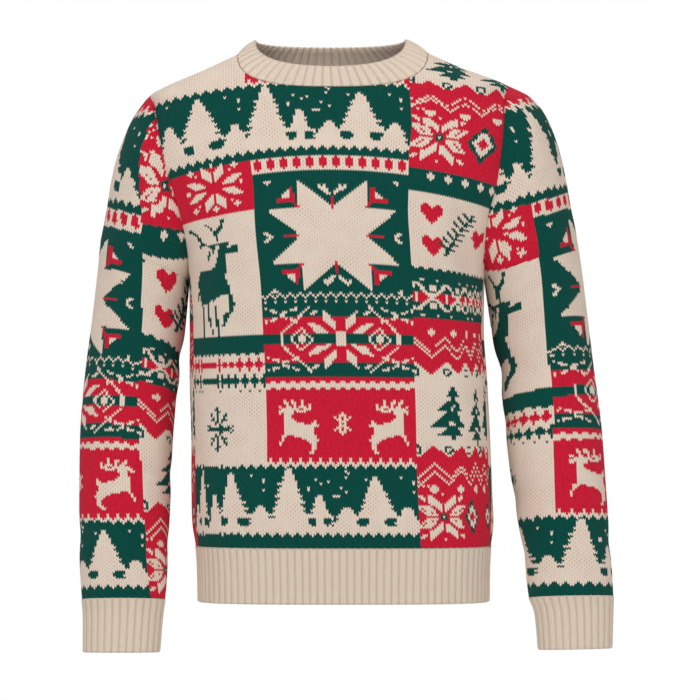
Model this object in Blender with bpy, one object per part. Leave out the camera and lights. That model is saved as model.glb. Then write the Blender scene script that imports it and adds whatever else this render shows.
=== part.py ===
"""Christmas sweater in patchwork jacquard knit, filled out as it is worn.

Metres, +Z up. The front faces -Y. The origin is the centre of the neck opening, level with the
shoulders. Every piece is a hollow knitted wall, closed at its edges and parted from its neighbours
by a fine gap at the seams. Sizes are in millimetres until a mesh is made.
"""

import bpy
import numpy as np

MM = 0.001

WALL = 3.0                  # thickness of the knit
SEAM_GAP = 0.3
COLLAR_GAP = 0.6            # measured along the collar's band, which meets the neckline at a slant
SECTION_POINTS = 240        # samples along a curve when its length is worked out

# The torso. The armhole is an oval, seen from the side, between the underarm and the shoulder tip.
HEM_SEAM = -606.0
HEM_EDGE = -676.0
UNDERARM = -275.0
SHOULDER_TIP = -36.0
NECK_POINT = 7.5
ARMHOLE_HALF_WIDTH = 62.0
SHOULDER_LIFT = 5.5         # the right shoulder sits this much higher, and the left one lower
SHOULDER_REACH = 220.0
LIFT_FROM, LIFT_TO = -250.0, -60.0

# The neckline and the collar, which leans in from it.
NECK_HALF_WIDTH = 118.5
NECK_CENTRE_X = 6.0
NECK_ROUNDNESS = 2.8
FRONT_NECK_DROP = 44.5
BACK_NECK_DROP = 16.0
COLLAR_HALF_WIDTH = 93.0
COLLAR_CENTRE_X = 3.0
COLLAR_ROUNDNESS = 2.4
COLLAR_SIDE_TOP = 25.5
COLLAR_FRONT_DROP, COLLAR_FRONT_REACH = 35.0, 62.0
COLLAR_BACK_DROP, COLLAR_BACK_REACH = 6.0, 57.0
COLLAR_BULGE = 2.0

# Ribs: broad crests with a narrow groove between them.
RIB_HEIGHT = 1.4
RIB_SHAPE = (0.0, 1.0, 1.0)             # height at the groove and at the two corners of the crest
HEM_RIBS, COLLAR_RIBS, CUFF_RIBS = 55, 60, 27

PANEL_COLUMNS = 24
NECK_SHARE = 0.5                        # the share of a panel's columns that end at the neckline
SLEEVE_COLUMNS = 20                     # a whole number for each armhole step over a cap's top
BODY_LEVELS = (HEM_SEAM, -590, -568, -535, -495, -455, -415, -375, -335, -300, UNDERARM)
ARMHOLE_STEPS = 10
CAP_STEPS = 8                           # armhole steps that the sides of a sleeve's cap take up
SEAM_HOLD = 0.8                         # how much the seam of a cap flattens the folds next to it
HOLD_REACH = 60.0                       # how far below the underarm that hold fades out


def table(columns, *rows):
    """A short table of sizes, as one named column of numbers each."""
    return dict(zip(columns.split(), np.array(rows, float).T))


# From the hem's edge up. half_width is the reach of the side, then of the armhole seam up to the
# shoulder tip, and then of the shoulder seam. A section is squarer the higher its squareness.
TORSO = table(
    "height   half_width centre_x front back squareness",
    (-676.0, 181.5, 19.5, 112, 105, 3.0),
    (-640.0, 182.0, 19.4, 113, 106, 3.0),
    (-606.0, 184.0, 19.2, 115, 108, 3.0),
    (-585.0, 187.2, 18.8, 119, 111, 3.0),
    (-540.0, 187.5, 17.3, 120, 109, 3.0),
    (-475.0, 186.3, 16.0, 119, 102, 3.0),
    (-400.0, 185.5, 13.0, 120, 100, 2.9),
    (-340.0, 183.4, 11.0, 123, 104, 2.8),
    (-300.0, 183.7, 11.0, 126, 110, 2.7),
    (-275.0, 184.2, 11.0, 127, 114, 2.6),
    (-231.0, 185.3, 9.7, 127, 120, 2.5),
    (-202.0, 189.4, 8.3, 125, 124, 2.4),
    (-160.0, 201.0, 8.0, 118, 125, 2.4),
    (-121.0, 209.4, 5.7, 107, 121, 2.4),
    (-88.0, 213.7, 4.5, 96, 113, 2.4),
    (-54.0, 217.5, 2.3, 85, 100, 2.4),
    (-36.0, 218.8, 1.5, 78, 91, 2.4),
    (-28.5, 202.8, 2.2, 74, 85, 2.4),
    (-11.5, 160.1, 4.1, 66, 74, 2.4),
    (7.5, 118.5, 6.0, 55, 60, 2.4),
)

# From the cap's top down to the cuff. A row runs round the sleeve from its inner side, which is the
# armhole seam in the cap and the underarm seam below it, to its outer side, and back. front_lift is
# how much higher the row runs in front for each millimetre of depth.
CAP_SIZES = "step outer_height outer_x half_depth"
TUBE_SIZES = "inner_height inner_x outer_height outer_x centre_y half_depth front_lift"
LEFT_CAP = table(
    CAP_SIZES,
    (8, -52, -229, 45),
    (7, -70, -242, 58),
    (6, -96, -254.5, 66),
    (5, -126, -265, 69),
    (4, -156, -271.5, 68),
    (3, -185, -276, 66),
    (2, -206, -280, 64.5),
    (1, -221, -283, 63),
)
RIGHT_CAP = table(
    CAP_SIZES,
    (8, -46, 252, 45),
    (7, -64, 268.5, 58),
    (6, -92, 282, 66),
    (5, -123, 291.5, 69),
    (4, -154, 298, 68),
    (3, -185, 303.5, 66),
    (2, -206, 308, 64.5),
    (1, -221, 310.5, 63),
)
LEFT_TUBE = table(
    TUBE_SIZES,
    (-275, -173.2, -230, -284.5, 0, 62.0, 0.04),
    (-300, -175.0, -262, -287.5, 1, 61.0, 0.10),
    (-350, -180.0, -327, -295.0, 3, 57.0, 0.20),
    (-400, -185.6, -387, -303.0, 3, 52.5, 0.20),
    (-462, -193.0, -458, -309.0, -4, 48.5, 0.12),
    (-537, -196.0, -537, -310.0, -14, 44.5, 0.06),
    (-612, -199.0, -612, -309.4, -25, 39.5, 0.06),
    (-650, -200.5, -650, -307.5, -32, 36.5, 0.08),
    (-672, -202.5, -672, -305.6, -36, 33.5, 0.10),
)
RIGHT_TUBE = table(
    TUBE_SIZES,
    (-275, 195.2, -230, 312.0, 0, 62.0, 0.04),
    (-300, 198.7, -262, 317.0, 1, 61.0, 0.10),
    (-350, 206.2, -327, 325.0, 3, 57.0, 0.20),
    (-400, 215.0, -387, 332.5, 3, 52.5, 0.20),
    (-462, 221.5, -458, 341.5, -4, 48.5, 0.12),
    (-537, 230.5, -537, 346.9, -14, 44.5, 0.06),
    (-612, 243.0, -612, 352.0, -25, 39.5, 0.06),
    (-650, 247.5, -650, 354.0, -32, 36.5, 0.08),
    (-670, 250.0, -668, 354.8, -36, 33.5, 0.10),
)
LEFT_CUFF = table(
    TUBE_SIZES,
    (-672, -202.5, -672, -305.6, -36, 33.5, 0.10),
    (-694, -205.5, -694, -303.8, -40, 31.0, 0.08),
    (-738, -209.0, -738, -303.6, -46, 30.0, 0.04),
)
RIGHT_CUFF = table(
    TUBE_SIZES,
    (-670, 250.0, -668, 354.8, -36, 33.5, 0.10),
    (-691, 257.5, -689, 354.0, -40, 31.0, 0.08),
    (-735, 261.5, -733, 352.5, -46, 30.0, 0.04),
)

# Soft folds: troughs (depth above 0) and swells (below 0) along a line seen from the front, and on
# the sleeves at an angle round the row, 0 at the inner side and 90 in front.
FRONT_FOLDS = table(
    "start_x start_height end_x end_height half_width depth",
    (-158, -285, -140, -205, 18, 4.5),
    (182, -285, 166, -200, 18, 5.0),
    (-150, -250, -82, -170, 22, 3.0),
    (172, -250, 100, -185, 22, 3.0),
    (-140, -345, -60, -395, 26, 2.5),
    (165, -370, 80, -405, 26, 2.5),
    (-128, -450, -110, -585, 20, 2.5),
    (140, -470, 150, -590, 18, 3.0),
    (-20, -470, 40, -585, 34, -2.0),
)
BACK_FOLDS = table(
    "start_x start_height end_x end_height half_width depth",
    (-160, -285, -120, -190, 19, 4.5),
    (182, -285, 140, -195, 19, 4.5),
    (-90, -380, 100, -400, 26, 3.0),
    (-120, -455, 20, -440, 24, 2.5),
    (60, -480, 150, -455, 22, 2.5),
    (-30, -60, 60, -58, 18, 2.0),
)
LEFT_FOLDS = table(
    "angle start_height end_height spread half_width depth",
    (55, -212, -262, 45, 17, 4.5),
    (300, -222, -268, 45, 17, 4.5),
    (30, -300, -322, 60, 17, 2.5),
    (20, -372, -366, 70, 15, 3.5),
    (35, -425, -412, 60, 16, 2.5),
    (310, -395, -382, 60, 16, 3.0),
    (25, -520, -512, 60, 15, 2.5),
    (200, -590, -598, 70, 17, 2.0),
    (330, -612, -600, 60, 15, 2.0),
)
RIGHT_FOLDS = table(
    "angle start_height end_height spread half_width depth",
    (62, -202, -250, 45, 17, 5.5),
    (300, -218, -266, 45, 17, 4.5),
    (28, -315, -330, 60, 17, 3.0),
    (20, -388, -378, 70, 16, 3.5),
    (315, -410, -398, 60, 17, 3.0),
    (30, -455, -448, 60, 16, 2.5),
    (24, -548, -538, 60, 15, 2.5),
    (195, -600, -606, 70, 17, 2.0),
    (335, -625, -612, 60, 15, 2.0),
)

CREAM_RIB = (0.66, 0.52, 0.42, 1.0)
GREEN_KNIT = (0.009, 0.072, 0.062, 1.0)
RED_KNIT = (0.50, 0.018, 0.040, 1.0)


def read(sizes, column, where, along="height"):
    """The column's value between the rows of a table, on a smooth curve."""
    order = np.argsort(sizes[along])
    knots, values = sizes[along][order], sizes[column][order]
    slopes = np.gradient(values, knots)
    where = np.clip(where, knots[0], knots[-1])
    row = np.clip(np.searchsorted(knots, where, side="right") - 1, 0, len(knots) - 2)
    span = knots[row + 1] - knots[row]
    s = (where - knots[row]) / span
    from_values = (1 + 2 * s) * (1 - s) ** 2 * values[row] + s ** 2 * (3 - 2 * s) * values[row + 1]
    from_slopes = s * (1 - s) ** 2 * slopes[row] - s ** 2 * (1 - s) * slopes[row + 1]
    return from_values + span * from_slopes


def ease(value, start, end):
    """0 up to start, 1 from end on, and smooth between them."""
    s = np.clip((value - start) / (end - start), 0, 1)
    return s * s * (3 - 2 * s)


def unit(vectors):
    return vectors / np.maximum(np.linalg.norm(vectors, axis=-1, keepdims=True), 1e-9)


def resample(line, count):
    """So many points, evenly spaced, along an open line of points."""
    run = np.concatenate([[0], np.cumsum(np.linalg.norm(np.diff(line, axis=0), axis=1))])
    stops = np.linspace(0, run[-1], count)
    return np.stack([np.interp(stops, run, line[:, axis]) for axis in range(3)], axis=1)


# The torso's form

def armhole_depth(height):
    """How far the armhole seam lies in front of the side line, and behind it."""
    middle, half = (SHOULDER_TIP + UNDERARM) / 2, (SHOULDER_TIP - UNDERARM) / 2
    return ARMHOLE_HALF_WIDTH * np.sqrt(np.clip(1 - ((height - middle) / half) ** 2, 0, 1))


def full_half_width(height):
    """Half the section's width with the part that runs on, unseen, past the armhole seam."""
    power = read(TORSO, "squareness", height)
    seam_share = armhole_depth(height) / read(TORSO, "front", height)
    return read(TORSO, "half_width", height) / (1 - seam_share ** power) ** (1 / power)


def fold_depth(folds, x, height):
    """How deep the folds of a panel push its knit in."""
    depth = np.zeros(np.broadcast(x, height).shape)
    for start_x, start_z, end_x, end_z, half_width, most in zip(*folds.values()):
        run = np.array([end_x - start_x, end_z - start_z])
        share = ((x - start_x) * run[0] + (height - start_z) * run[1]) / (run @ run)
        nearest = np.clip(share, 0, 1)
        away = np.hypot(x - start_x - nearest * run[0], height - start_z - nearest * run[1])
        depth += most * np.exp(-((away / half_width) ** 2))
    return depth


def torso_y(x, height, face):
    """The knit's depth position on the front (face -1) or the back (face 1)."""
    power = read(TORSO, "squareness", height)
    share = np.clip(np.abs(x - read(TORSO, "centre_x", height)) / full_half_width(height), 0, 1)
    fullness = (1 - share ** power) ** (1 / power)
    folds = FRONT_FOLDS if face < 0 else BACK_FOLDS
    reach = read(TORSO, "front" if face < 0 else "back", height)
    hem_hold = ease(height, HEM_SEAM, HEM_SEAM + 25)
    pushed = fold_depth(folds, x, height) * ease(fullness, 0.05, 0.5) * hem_hold
    return face * (reach * fullness - pushed)


def across(height, share, face):
    """X at a share of the way, measured along the knit, from the centre line to the side edge."""
    centre, edge = read(TORSO, "centre_x", height), read(TORSO, "half_width", height)
    power = read(TORSO, "squareness", height)
    full = full_half_width(height)
    last = np.arcsin(min(edge / full, 1.0) ** (power / 2))
    offsets = full * np.sin(np.linspace(0, last, SECTION_POINTS)) ** (2 / power)
    depths = torso_y(centre + offsets, height, face)
    run = np.concatenate([[0], np.cumsum(np.hypot(np.diff(offsets), np.diff(depths)))])
    return centre + np.sign(share) * np.interp(abs(share) * run[-1], run, offsets)


def shoulder_lift(x, height):
    """How much higher the knit sits because the shoulders aren't quite level."""
    return SHOULDER_LIFT * (x / SHOULDER_REACH) ** 3 * ease(height, LIFT_FROM, LIFT_TO)


def neck_point(angle, neck_drop):
    """X and height of the neckline, at an angle from its middle."""
    side = np.sign(angle) * abs(np.sin(angle)) ** (2 / NECK_ROUNDNESS)
    down = np.clip(np.cos(angle), 0, 1) ** (2 / NECK_ROUNDNESS)
    return NECK_CENTRE_X + NECK_HALF_WIDTH * side, NECK_POINT - neck_drop * down


def neck_angle(share, face, neck_drop):
    """The angle at a share of the way, along the neckline, from its middle to the neck point."""
    angles = np.linspace(0, np.pi / 2, SECTION_POINTS)
    x, height = neck_point(angles, neck_drop)
    steps = np.linalg.norm(np.diff([x, torso_y(x, height, face), height], axis=1), axis=0)
    run = np.concatenate([[0], np.cumsum(steps)])
    return np.sign(share) * np.interp(abs(share) * run[-1], run, angles)


def top_edge(share, face, neck_drop):
    """X and height where a panel's column ends: on the shoulder seam, or on the neckline."""
    if abs(share) >= NECK_SHARE:
        rise = (1 - abs(share)) / (1 - NECK_SHARE)
        height = SHOULDER_TIP + rise * (NECK_POINT - SHOULDER_TIP)
        reach = read(TORSO, "half_width", height)
        return read(TORSO, "centre_x", height) + np.sign(share) * reach, height
    return neck_point(neck_angle(share / NECK_SHARE, face, neck_drop), neck_drop)


def armhole_levels():
    """Heights of the armhole's points, even round the oval, from the underarm to the tip."""
    angles = np.linspace(0, np.pi, ARMHOLE_STEPS + 1)
    return (SHOULDER_TIP + UNDERARM) / 2 - (SHOULDER_TIP - UNDERARM) / 2 * np.cos(angles)


def panel_points(face, neck_drop):
    """A panel's outer points, rows by columns: up its sides, up the armholes, over to the shoulders."""
    shares = np.linspace(-1, 1, PANEL_COLUMNS + 1)
    ends = [top_edge(share, face, neck_drop) for share in shares]
    rows = []
    for level in BODY_LEVELS[:-1]:
        x = np.array([across(level, share, face) for share in shares])
        rows.append(np.stack([x, torso_y(x, level, face), np.full_like(x, level)], axis=1))
    for level in armhole_levels():
        rise = (level - UNDERARM) / (SHOULDER_TIP - UNDERARM)
        row = []
        for share, (end_x, end_height) in zip(shares, ends):
            height = UNDERARM + rise * (end_height - UNDERARM)
            drift = end_x - across(min(end_height, SHOULDER_TIP), share, face)
            x = across(min(height, SHOULDER_TIP), share, face) + rise ** 2 * drift
            row.append((x, float(torso_y(x, height, face)), height))
        rows.append(np.array(row))
    points = np.array(rows)
    points[..., 2] += shoulder_lift(points[..., 0], points[..., 2])
    return points


# Walls

def grid_faces(ids):
    """The faces between neighbouring rows and columns of point numbers, without any that collapse."""
    faces = []
    for low, high in zip(ids[:-1], ids[1:]):
        for corner in range(len(low) - 1):
            ring = [low[corner], low[corner + 1], high[corner + 1], high[corner]]
            face = [p for place, p in enumerate(ring) if p != ring[place - 1]]
            if len(set(face)) > 2:
                faces.append(face)
    return faces


def normals_of(points, faces):
    """A unit normal for each point, from the faces round it."""
    normals = np.zeros_like(points)
    for face in faces:
        a, b, c, d = (points[face[place % len(face)]] for place in (0, 1, 2, 3))
        across_face = np.cross(c - a, (d if len(face) == 4 else c) - b)
        for point in face:
            normals[point] += across_face
    return unit(normals)


def flattened(normals, ring):
    """The normals of a ring's points, turned into the plane that the ring lies in."""
    third = len(ring) // 3
    square = unit(np.cross(ring[third] - ring[0], ring[2 * third] - ring[0]))
    return unit(normals - (normals @ square)[:, None] * square)


def knit_wall(name, outer, inner, faces, colour):
    """A closed wall between its outer and inner points, as one object."""
    count = len(outer)
    walls = [list(face) for face in faces] + [[p + count for p in reversed(face)] for face in faces]
    edges = {(face[place - 1], face[place]) for face in faces for place in range(len(face))}
    for start, end in sorted(edges):
        if (end, start) not in edges:
            walls.append([end, start, start + count, end + count])
    mesh = bpy.data.meshes.new(name)
    mesh.from_pydata((np.concatenate([outer, inner]) * MM).tolist(), [], walls)
    mesh.shade_smooth()
    mesh.set_sharp_from_angle(angle=np.radians(50))
    material = bpy.data.materials.new(name + "_knit")
    material.use_nodes = True
    shader = material.node_tree.nodes["Principled BSDF"]
    shader.inputs["Base Color"].default_value = colour
    shader.inputs["Roughness"].default_value = 0.9
    shader.inputs["Metallic"].default_value = 0.0
    mesh.materials.append(material)
    bpy.context.collection.objects.link(bpy.data.objects.new(name, mesh))


# Front and back

def loop_walls(points):
    """Which way the wall runs, outwards, along an armhole: square to the seam as seen from the side."""
    along = np.roll(points, -1, axis=0) - np.roll(points, 1, axis=0)
    return unit(np.stack([0 * along[:, 0], -along[:, 2], along[:, 1]], axis=1))


def neck_walls(base, top):
    """Which way the wall runs, outwards, along the neckline: square to the seam and to the collar."""
    along = np.roll(base, -1, axis=0) - np.roll(base, 1, axis=0)
    return unit(np.cross(along, top - base))


def neck_columns():
    edge = round(PANEL_COLUMNS * (1 - NECK_SHARE) / 2)
    return slice(edge, PANEL_COLUMNS - edge + 1)


def collar_top(face, count):
    """The collar's top edge in front (face -1) or behind (face 1), from left to right."""
    drop = COLLAR_FRONT_DROP if face < 0 else COLLAR_BACK_DROP
    reach = COLLAR_FRONT_REACH if face < 0 else COLLAR_BACK_REACH
    angles = np.linspace(-np.pi / 2, np.pi / 2, SECTION_POINTS + 1)
    side = np.sign(angles) * abs(np.sin(angles)) ** (2 / COLLAR_ROUNDNESS)
    far = np.clip(np.cos(angles), 0, 1) ** (2 / COLLAR_ROUNDNESS)
    x = COLLAR_CENTRE_X + COLLAR_HALF_WIDTH * side
    height = COLLAR_SIDE_TOP - drop * far + shoulder_lift(x, COLLAR_SIDE_TOP)
    return resample(np.stack([x, face * reach * far, height], axis=1), count)


def neck_loop(front, back):
    """The neckline from the left neck point round the front and back again, as one loop."""
    return np.concatenate([front[-1, neck_columns()], back[-1, neck_columns()][-2:0:-1]])


def collar_loop(count):
    """Points of the collar's top edge to go with those of the neckline."""
    return np.concatenate([collar_top(-1, count), collar_top(1, count)[-2:0:-1]])


def armhole_loop(front, back, side):
    """The armhole's points: up its front from the underarm to the tip, and down its back."""
    column = 0 if side < 0 else -1
    first = len(BODY_LEVELS) - 1
    return np.concatenate([front[first:, column], back[first + 1:-1, column][::-1]])


def make_panels(front, back):
    """The front and back solids. Returns the inner points of both, for the pieces sewn to them."""
    ids = np.arange(front[..., 0].size).reshape(front.shape[:2])
    faces = {-1: grid_faces(ids), 1: grid_faces(ids[:, ::-1])}
    points = {-1: front.reshape(-1, 3), 1: back.reshape(-1, 3)}
    normals = {face: normals_of(points[face], faces[face]) for face in points}
    shared = [*ids[:, 0], *ids[:, -1], *ids[-1]]
    mean = unit(normals[-1][shared] + normals[1][shared])
    first = len(BODY_LEVELS) - 1
    for face in normals:
        normals[face][shared] = mean
        normals[face][ids[0]] = unit(normals[face][ids[0]] * (1, 1, 0))
    for side, column in ((-1, 0), (1, -1)):
        walls = loop_walls(armhole_loop(front, back, side))
        steps = ARMHOLE_STEPS + 1
        normals[-1][ids[first:, column]] = walls[:steps]
        normals[1][ids[first:, column]] = np.concatenate([walls[:1], walls[steps - 1:][::-1]])
    neck = ids[-1, neck_columns()]
    count = len(neck)
    walls = neck_walls(neck_loop(front, back), collar_loop(count))
    normals[-1][neck] = walls[:count]
    normals[1][neck] = np.concatenate([walls[:1], walls[count - 1:][::-1]])
    inner = {face: points[face] - WALL * normals[face] for face in points}
    for face, name, colour in ((-1, "front", GREEN_KNIT), (1, "back", GREEN_KNIT)):
        part = np.zeros_like(points[face])
        seams = [*ids[:, 0], *ids[:, -1], *ids[-1, :neck_columns().start + 1]]
        seams += [*ids[-1, neck_columns().stop - 1:]]
        part[sorted(set(seams)), 1] = face * SEAM_GAP / 2
        for side, column in ((-1, 0), (1, -1)):
            part[ids[first:, column], 0] = -side * SEAM_GAP / 2
        knit_wall(name, points[face] + part, inner[face] + part, faces[face], colour)
    shape = front.shape
    return inner[-1].reshape(shape), inner[1].reshape(shape)


# Sleeves

def angle_fold(folds, angles, height):
    """How deep the folds of a sleeve push its knit in."""
    turn = np.degrees(angles)
    depth = np.zeros(np.broadcast(turn, height).shape)
    for angle, start, end, spread, half_width, most in zip(*folds.values()):
        off = (turn - angle + 180) % 360 - 180
        line = start + (end - start) * (off / spread + 1) / 2
        away = (height - line) / half_width
        depth += most * np.exp(-(away ** 2)) * np.exp(-((off / spread) ** 2) * 1.5)
    return depth


def sleeve_row(inner, outer, reach, start, folds, hold):
    """A row of a sleeve: round from its inner side, in front first, over its outer side."""
    angles = start + (2 * np.pi - 2 * start) * np.linspace(0, 1, SLEEVE_COLUMNS + 1)
    out = ((np.cos(start) - np.cos(angles)) / (1 + np.cos(start)))[:, None]
    row = inner + (outer - inner) * out + reach * np.sin(angles)[:, None]
    middle = (inner + outer) / 2
    pushed = angle_fold(folds, angles, row[:, 2]) * np.sin((angles - start) / 2) ** hold
    return row + unit((middle - row) * (1, 1, 0)) * pushed[:, None]


def cap_rows(cap, loop, folds):
    """The cap's rows from its top down, each sewn to the armhole at its two ends."""
    rows = []
    for step, height, x, half_depth in zip(*cap.values()):
        fore, aft = loop[int(step)], loop[-int(step)]
        inner, chord = (fore + aft) / 2, fore - aft
        start = np.arcsin(min(np.linalg.norm(chord) / 2 / half_depth, 0.99))
        outer = np.array([x, inner[1], height])
        rows.append(sleeve_row(inner, outer, unit(chord) * half_depth, start, folds, SEAM_HOLD))
    return rows


def tube_ends(row):
    """The inner and outer ends of a tube's row, and its reach forward."""
    inner_height, inner_x, outer_height, outer_x, centre_y, half_depth, lift = row
    inner = np.array([inner_x, centre_y, inner_height])
    outer = np.array([outer_x, centre_y, outer_height])
    return inner, outer, half_depth * np.array([0, -1, lift])


def tube_rows(tube, folds):
    """The rows from the underarm down, closed round the arm."""
    rows = []
    for row in zip(*between_rows(tube).values()):
        inner, outer, reach = tube_ends(row)
        hold = SEAM_HOLD * ease(inner[2], UNDERARM - HOLD_REACH, UNDERARM)
        rows.append(sleeve_row(inner, outer, reach, 0.0, folds, hold))
    return rows


def between_rows(tube):
    """The tube's table with one more row between each two of its own."""
    places = np.arange(len(tube["inner_height"]), dtype=float)
    finer = np.arange(0, places[-1] + 0.25, 0.5)
    placed = dict(tube, place=places)
    return {name: read(placed, name, finer, along="place") for name in tube}


def cap_top(loop):
    """The cap's top row, along the armhole over the shoulder tip, with all of the seam's own points."""
    steps = np.linspace(CAP_STEPS, 2 * ARMHOLE_STEPS - CAP_STEPS, SLEEVE_COLUMNS + 1)
    return np.stack([np.interp(steps, np.arange(len(loop)), loop[:, axis]) for axis in range(3)], axis=1)


def make_sleeve(name, side, loop, inner_loop, cap, tube, folds):
    """A sleeve solid from the cap's top to the cuff seam, closed along the underarm seam."""
    rows = np.array([cap_top(loop)] + cap_rows(cap, loop, folds) + tube_rows(tube, folds))
    underarm = CAP_STEPS + 1
    rows[underarm, [0, -1]] = loop[0]
    ids = np.arange(rows[..., 0].size).reshape(rows.shape[:2])
    ids[0, [0, -1]] = ids[1, [0, -1]]
    ids[underarm:, -1] = ids[underarm:, 0]
    used, compact = np.unique(ids, return_inverse=True)
    compact = compact.reshape(ids.shape)
    points = rows.reshape(-1, 3)[used]
    faces = grid_faces(compact if side < 0 else compact[:, ::-1])
    normals = normals_of(points, faces)
    normals[compact[-1]] = flattened(normals[compact[-1]], rows[-1])
    inner = points - WALL * normals
    for row, step in enumerate(range(CAP_STEPS, -1, -1), start=1):
        inner[compact[row, 0]] = inner_loop[step]
        inner[compact[row, -1]] = inner_loop[-step]
    inner[compact[0]] = cap_top(inner_loop)
    part = np.zeros_like(points)
    sewn = [*compact[0], *compact[1:underarm + 1, 0], *compact[1:underarm + 1, -1]]
    part[sorted(set(sewn)), 0] = side * SEAM_GAP / 2
    knit_wall(name, points + part, inner + part, faces, RED_KNIT)


# Ribs

def ribbed(lines, closed):
    """A ribbed band's plain outer points and normals, how far each is raised, and the faces.

    The rows share a count of three points to a rib, and only the outside is raised."""
    rows = np.array(lines)
    ids = np.arange(rows[..., 0].size).reshape(rows.shape[:2])
    if closed:
        ids = np.concatenate([ids, ids[:, :1]], axis=1)
    faces = grid_faces(ids)
    points = rows.reshape(-1, 3)
    rib = np.array(RIB_SHAPE) * RIB_HEIGHT
    raised = np.resize(rib, rows.shape[1])
    return points, normals_of(points, faces), np.tile(raised, len(rows))[:, None], faces


def torso_line(height, face, count):
    """Evenly spaced points round half of the torso at a height, from left to right."""
    shares = np.linspace(-1, 1, SECTION_POINTS // 2 + 1)
    x = np.array([across(height, share, face) for share in shares])
    return resample(np.stack([x, torso_y(x, height, face), np.full_like(x, height)], axis=1), count)


def make_hem_rib(name, face):
    """Half of the hem rib, hanging from its panel."""
    count = HEM_RIBS * len(RIB_SHAPE) + 1
    lines = [torso_line(height, face, count) for height in (HEM_EDGE, HEM_SEAM - SEAM_GAP)]
    for line in lines:
        line[[0, -1], 1] += face * SEAM_GAP / 2
    if face > 0:
        lines = [line[::-1] for line in lines]
    points, normals, raised, faces = ribbed(lines, closed=False)
    normals = unit(normals * (1, 1, 0))
    ends = [0, count - 1, count, 2 * count - 1]
    normals[ends] = np.sign(normals[ends] * (1, 0, 0))
    raised[ends] = 0
    knit_wall(name, points + normals * raised, points - normals * WALL, faces, CREAM_RIB)


def make_cuff(name, side, cuff):
    """A cuff rib, closed round the wrist."""
    count = CUFF_RIBS * len(RIB_SHAPE)
    angles = np.linspace(0, 2 * np.pi, SECTION_POINTS + 1)[:, None]
    rows = []
    for row in zip(*cuff.values()):
        inner, outer, reach = tube_ends(row)
        ring = (inner + outer) / 2 - (outer - inner) / 2 * np.cos(angles) + reach * np.sin(angles)
        rows.append(resample(ring, count + 1)[:-1])
    rows[0] = rows[0] - (0, 0, SEAM_GAP)
    if side > 0:
        rows = [row[::-1] for row in rows]
    points, normals, raised, faces = ribbed(rows, closed=True)
    normals[:count] = flattened(normals[:count], rows[0])
    knit_wall(name, points + normals * raised, points - normals * WALL, faces, CREAM_RIB)


def half_loops(loop, count):
    """A loop that starts at the left neck point, as evenly spaced points on its front and its back."""
    middle = len(loop) // 2
    fore = resample(loop[:middle + 1], count // 2 + 1)
    aft = resample(np.concatenate([loop[middle:], loop[:1]]), count // 2 + 1)
    return np.concatenate([fore[:-1], aft[:-1]])


def make_collar(front, back, front_inner, back_inner):
    """The collar's rib band, standing on the neckline and leaning in."""
    count = COLLAR_RIBS * len(RIB_SHAPE)
    base = half_loops(neck_loop(front, back), count)
    base_inner = half_loops(neck_loop(front_inner, back_inner), count)
    top = half_loops(collar_loop(SECTION_POINTS // 2 + 1), count)
    lift = unit(top - base) * COLLAR_GAP
    middle = (base + top) / 2 + neck_walls(base, top) * COLLAR_BULGE
    points, normals, raised, faces = ribbed([base + lift, middle, top], closed=True)
    inner = points - normals * WALL
    inner[:count] = base_inner + lift
    knit_wall("collar", points + normals * raised, inner, faces, CREAM_RIB)


def make_sweater():
    front = panel_points(-1, FRONT_NECK_DROP)
    back = panel_points(1, BACK_NECK_DROP)
    front_inner, back_inner = make_panels(front, back)
    sleeves = (
        ("left", -1, LEFT_CAP, LEFT_TUBE, LEFT_CUFF, LEFT_FOLDS),
        ("right", 1, RIGHT_CAP, RIGHT_TUBE, RIGHT_CUFF, RIGHT_FOLDS),
    )
    for name, side, cap, tube, cuff, folds in sleeves:
        loop = armhole_loop(front, back, side)
        inner_loop = armhole_loop(front_inner, back_inner, side)
        make_sleeve("sleeve_" + name, side, loop, inner_loop, cap, tube, folds)
        make_cuff("cuff_" + name, side, cuff)
    make_hem_rib("hem_rib_front", -1)
    make_hem_rib("hem_rib_back", 1)
    make_collar(front, back, front_inner, back_inner)


for old in list(bpy.data.objects):
    bpy.data.objects.remove(old, do_unlink=True)
make_sweater()
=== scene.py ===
"""The looks of a patchwork jacquard Christmas sweater: every knitted stitch, rib and seam."""

import bpy
import numpy as np
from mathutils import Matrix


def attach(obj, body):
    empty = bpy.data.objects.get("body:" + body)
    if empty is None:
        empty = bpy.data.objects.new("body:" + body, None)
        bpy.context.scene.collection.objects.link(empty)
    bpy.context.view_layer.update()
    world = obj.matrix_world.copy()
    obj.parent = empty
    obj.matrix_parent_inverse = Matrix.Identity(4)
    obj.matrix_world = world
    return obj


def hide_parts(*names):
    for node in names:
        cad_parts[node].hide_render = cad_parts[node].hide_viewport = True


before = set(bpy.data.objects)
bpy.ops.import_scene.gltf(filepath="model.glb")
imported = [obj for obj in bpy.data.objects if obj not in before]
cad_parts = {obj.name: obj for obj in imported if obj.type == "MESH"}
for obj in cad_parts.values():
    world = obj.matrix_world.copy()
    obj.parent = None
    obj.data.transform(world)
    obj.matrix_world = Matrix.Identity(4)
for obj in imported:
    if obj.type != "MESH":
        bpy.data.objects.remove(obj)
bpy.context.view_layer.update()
bpy.ops.object.select_all(action="DESELECT")


# Yarn. Soft cotton-and-wool yarn in three colours. Each wale is a column of V stitches, whose two
# legs are rounded strands, and the yarns that aren't in use float behind and peep through between
# the stitches.

CREAM = (0.94, 0.79, 0.655, 1.0)
GREEN = (0.0, 0.078, 0.060, 1.0)
RED = (0.72, 0.012, 0.042, 1.0)
RIB_CREAM = (0.86, 0.71, 0.57, 1.0)


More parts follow.
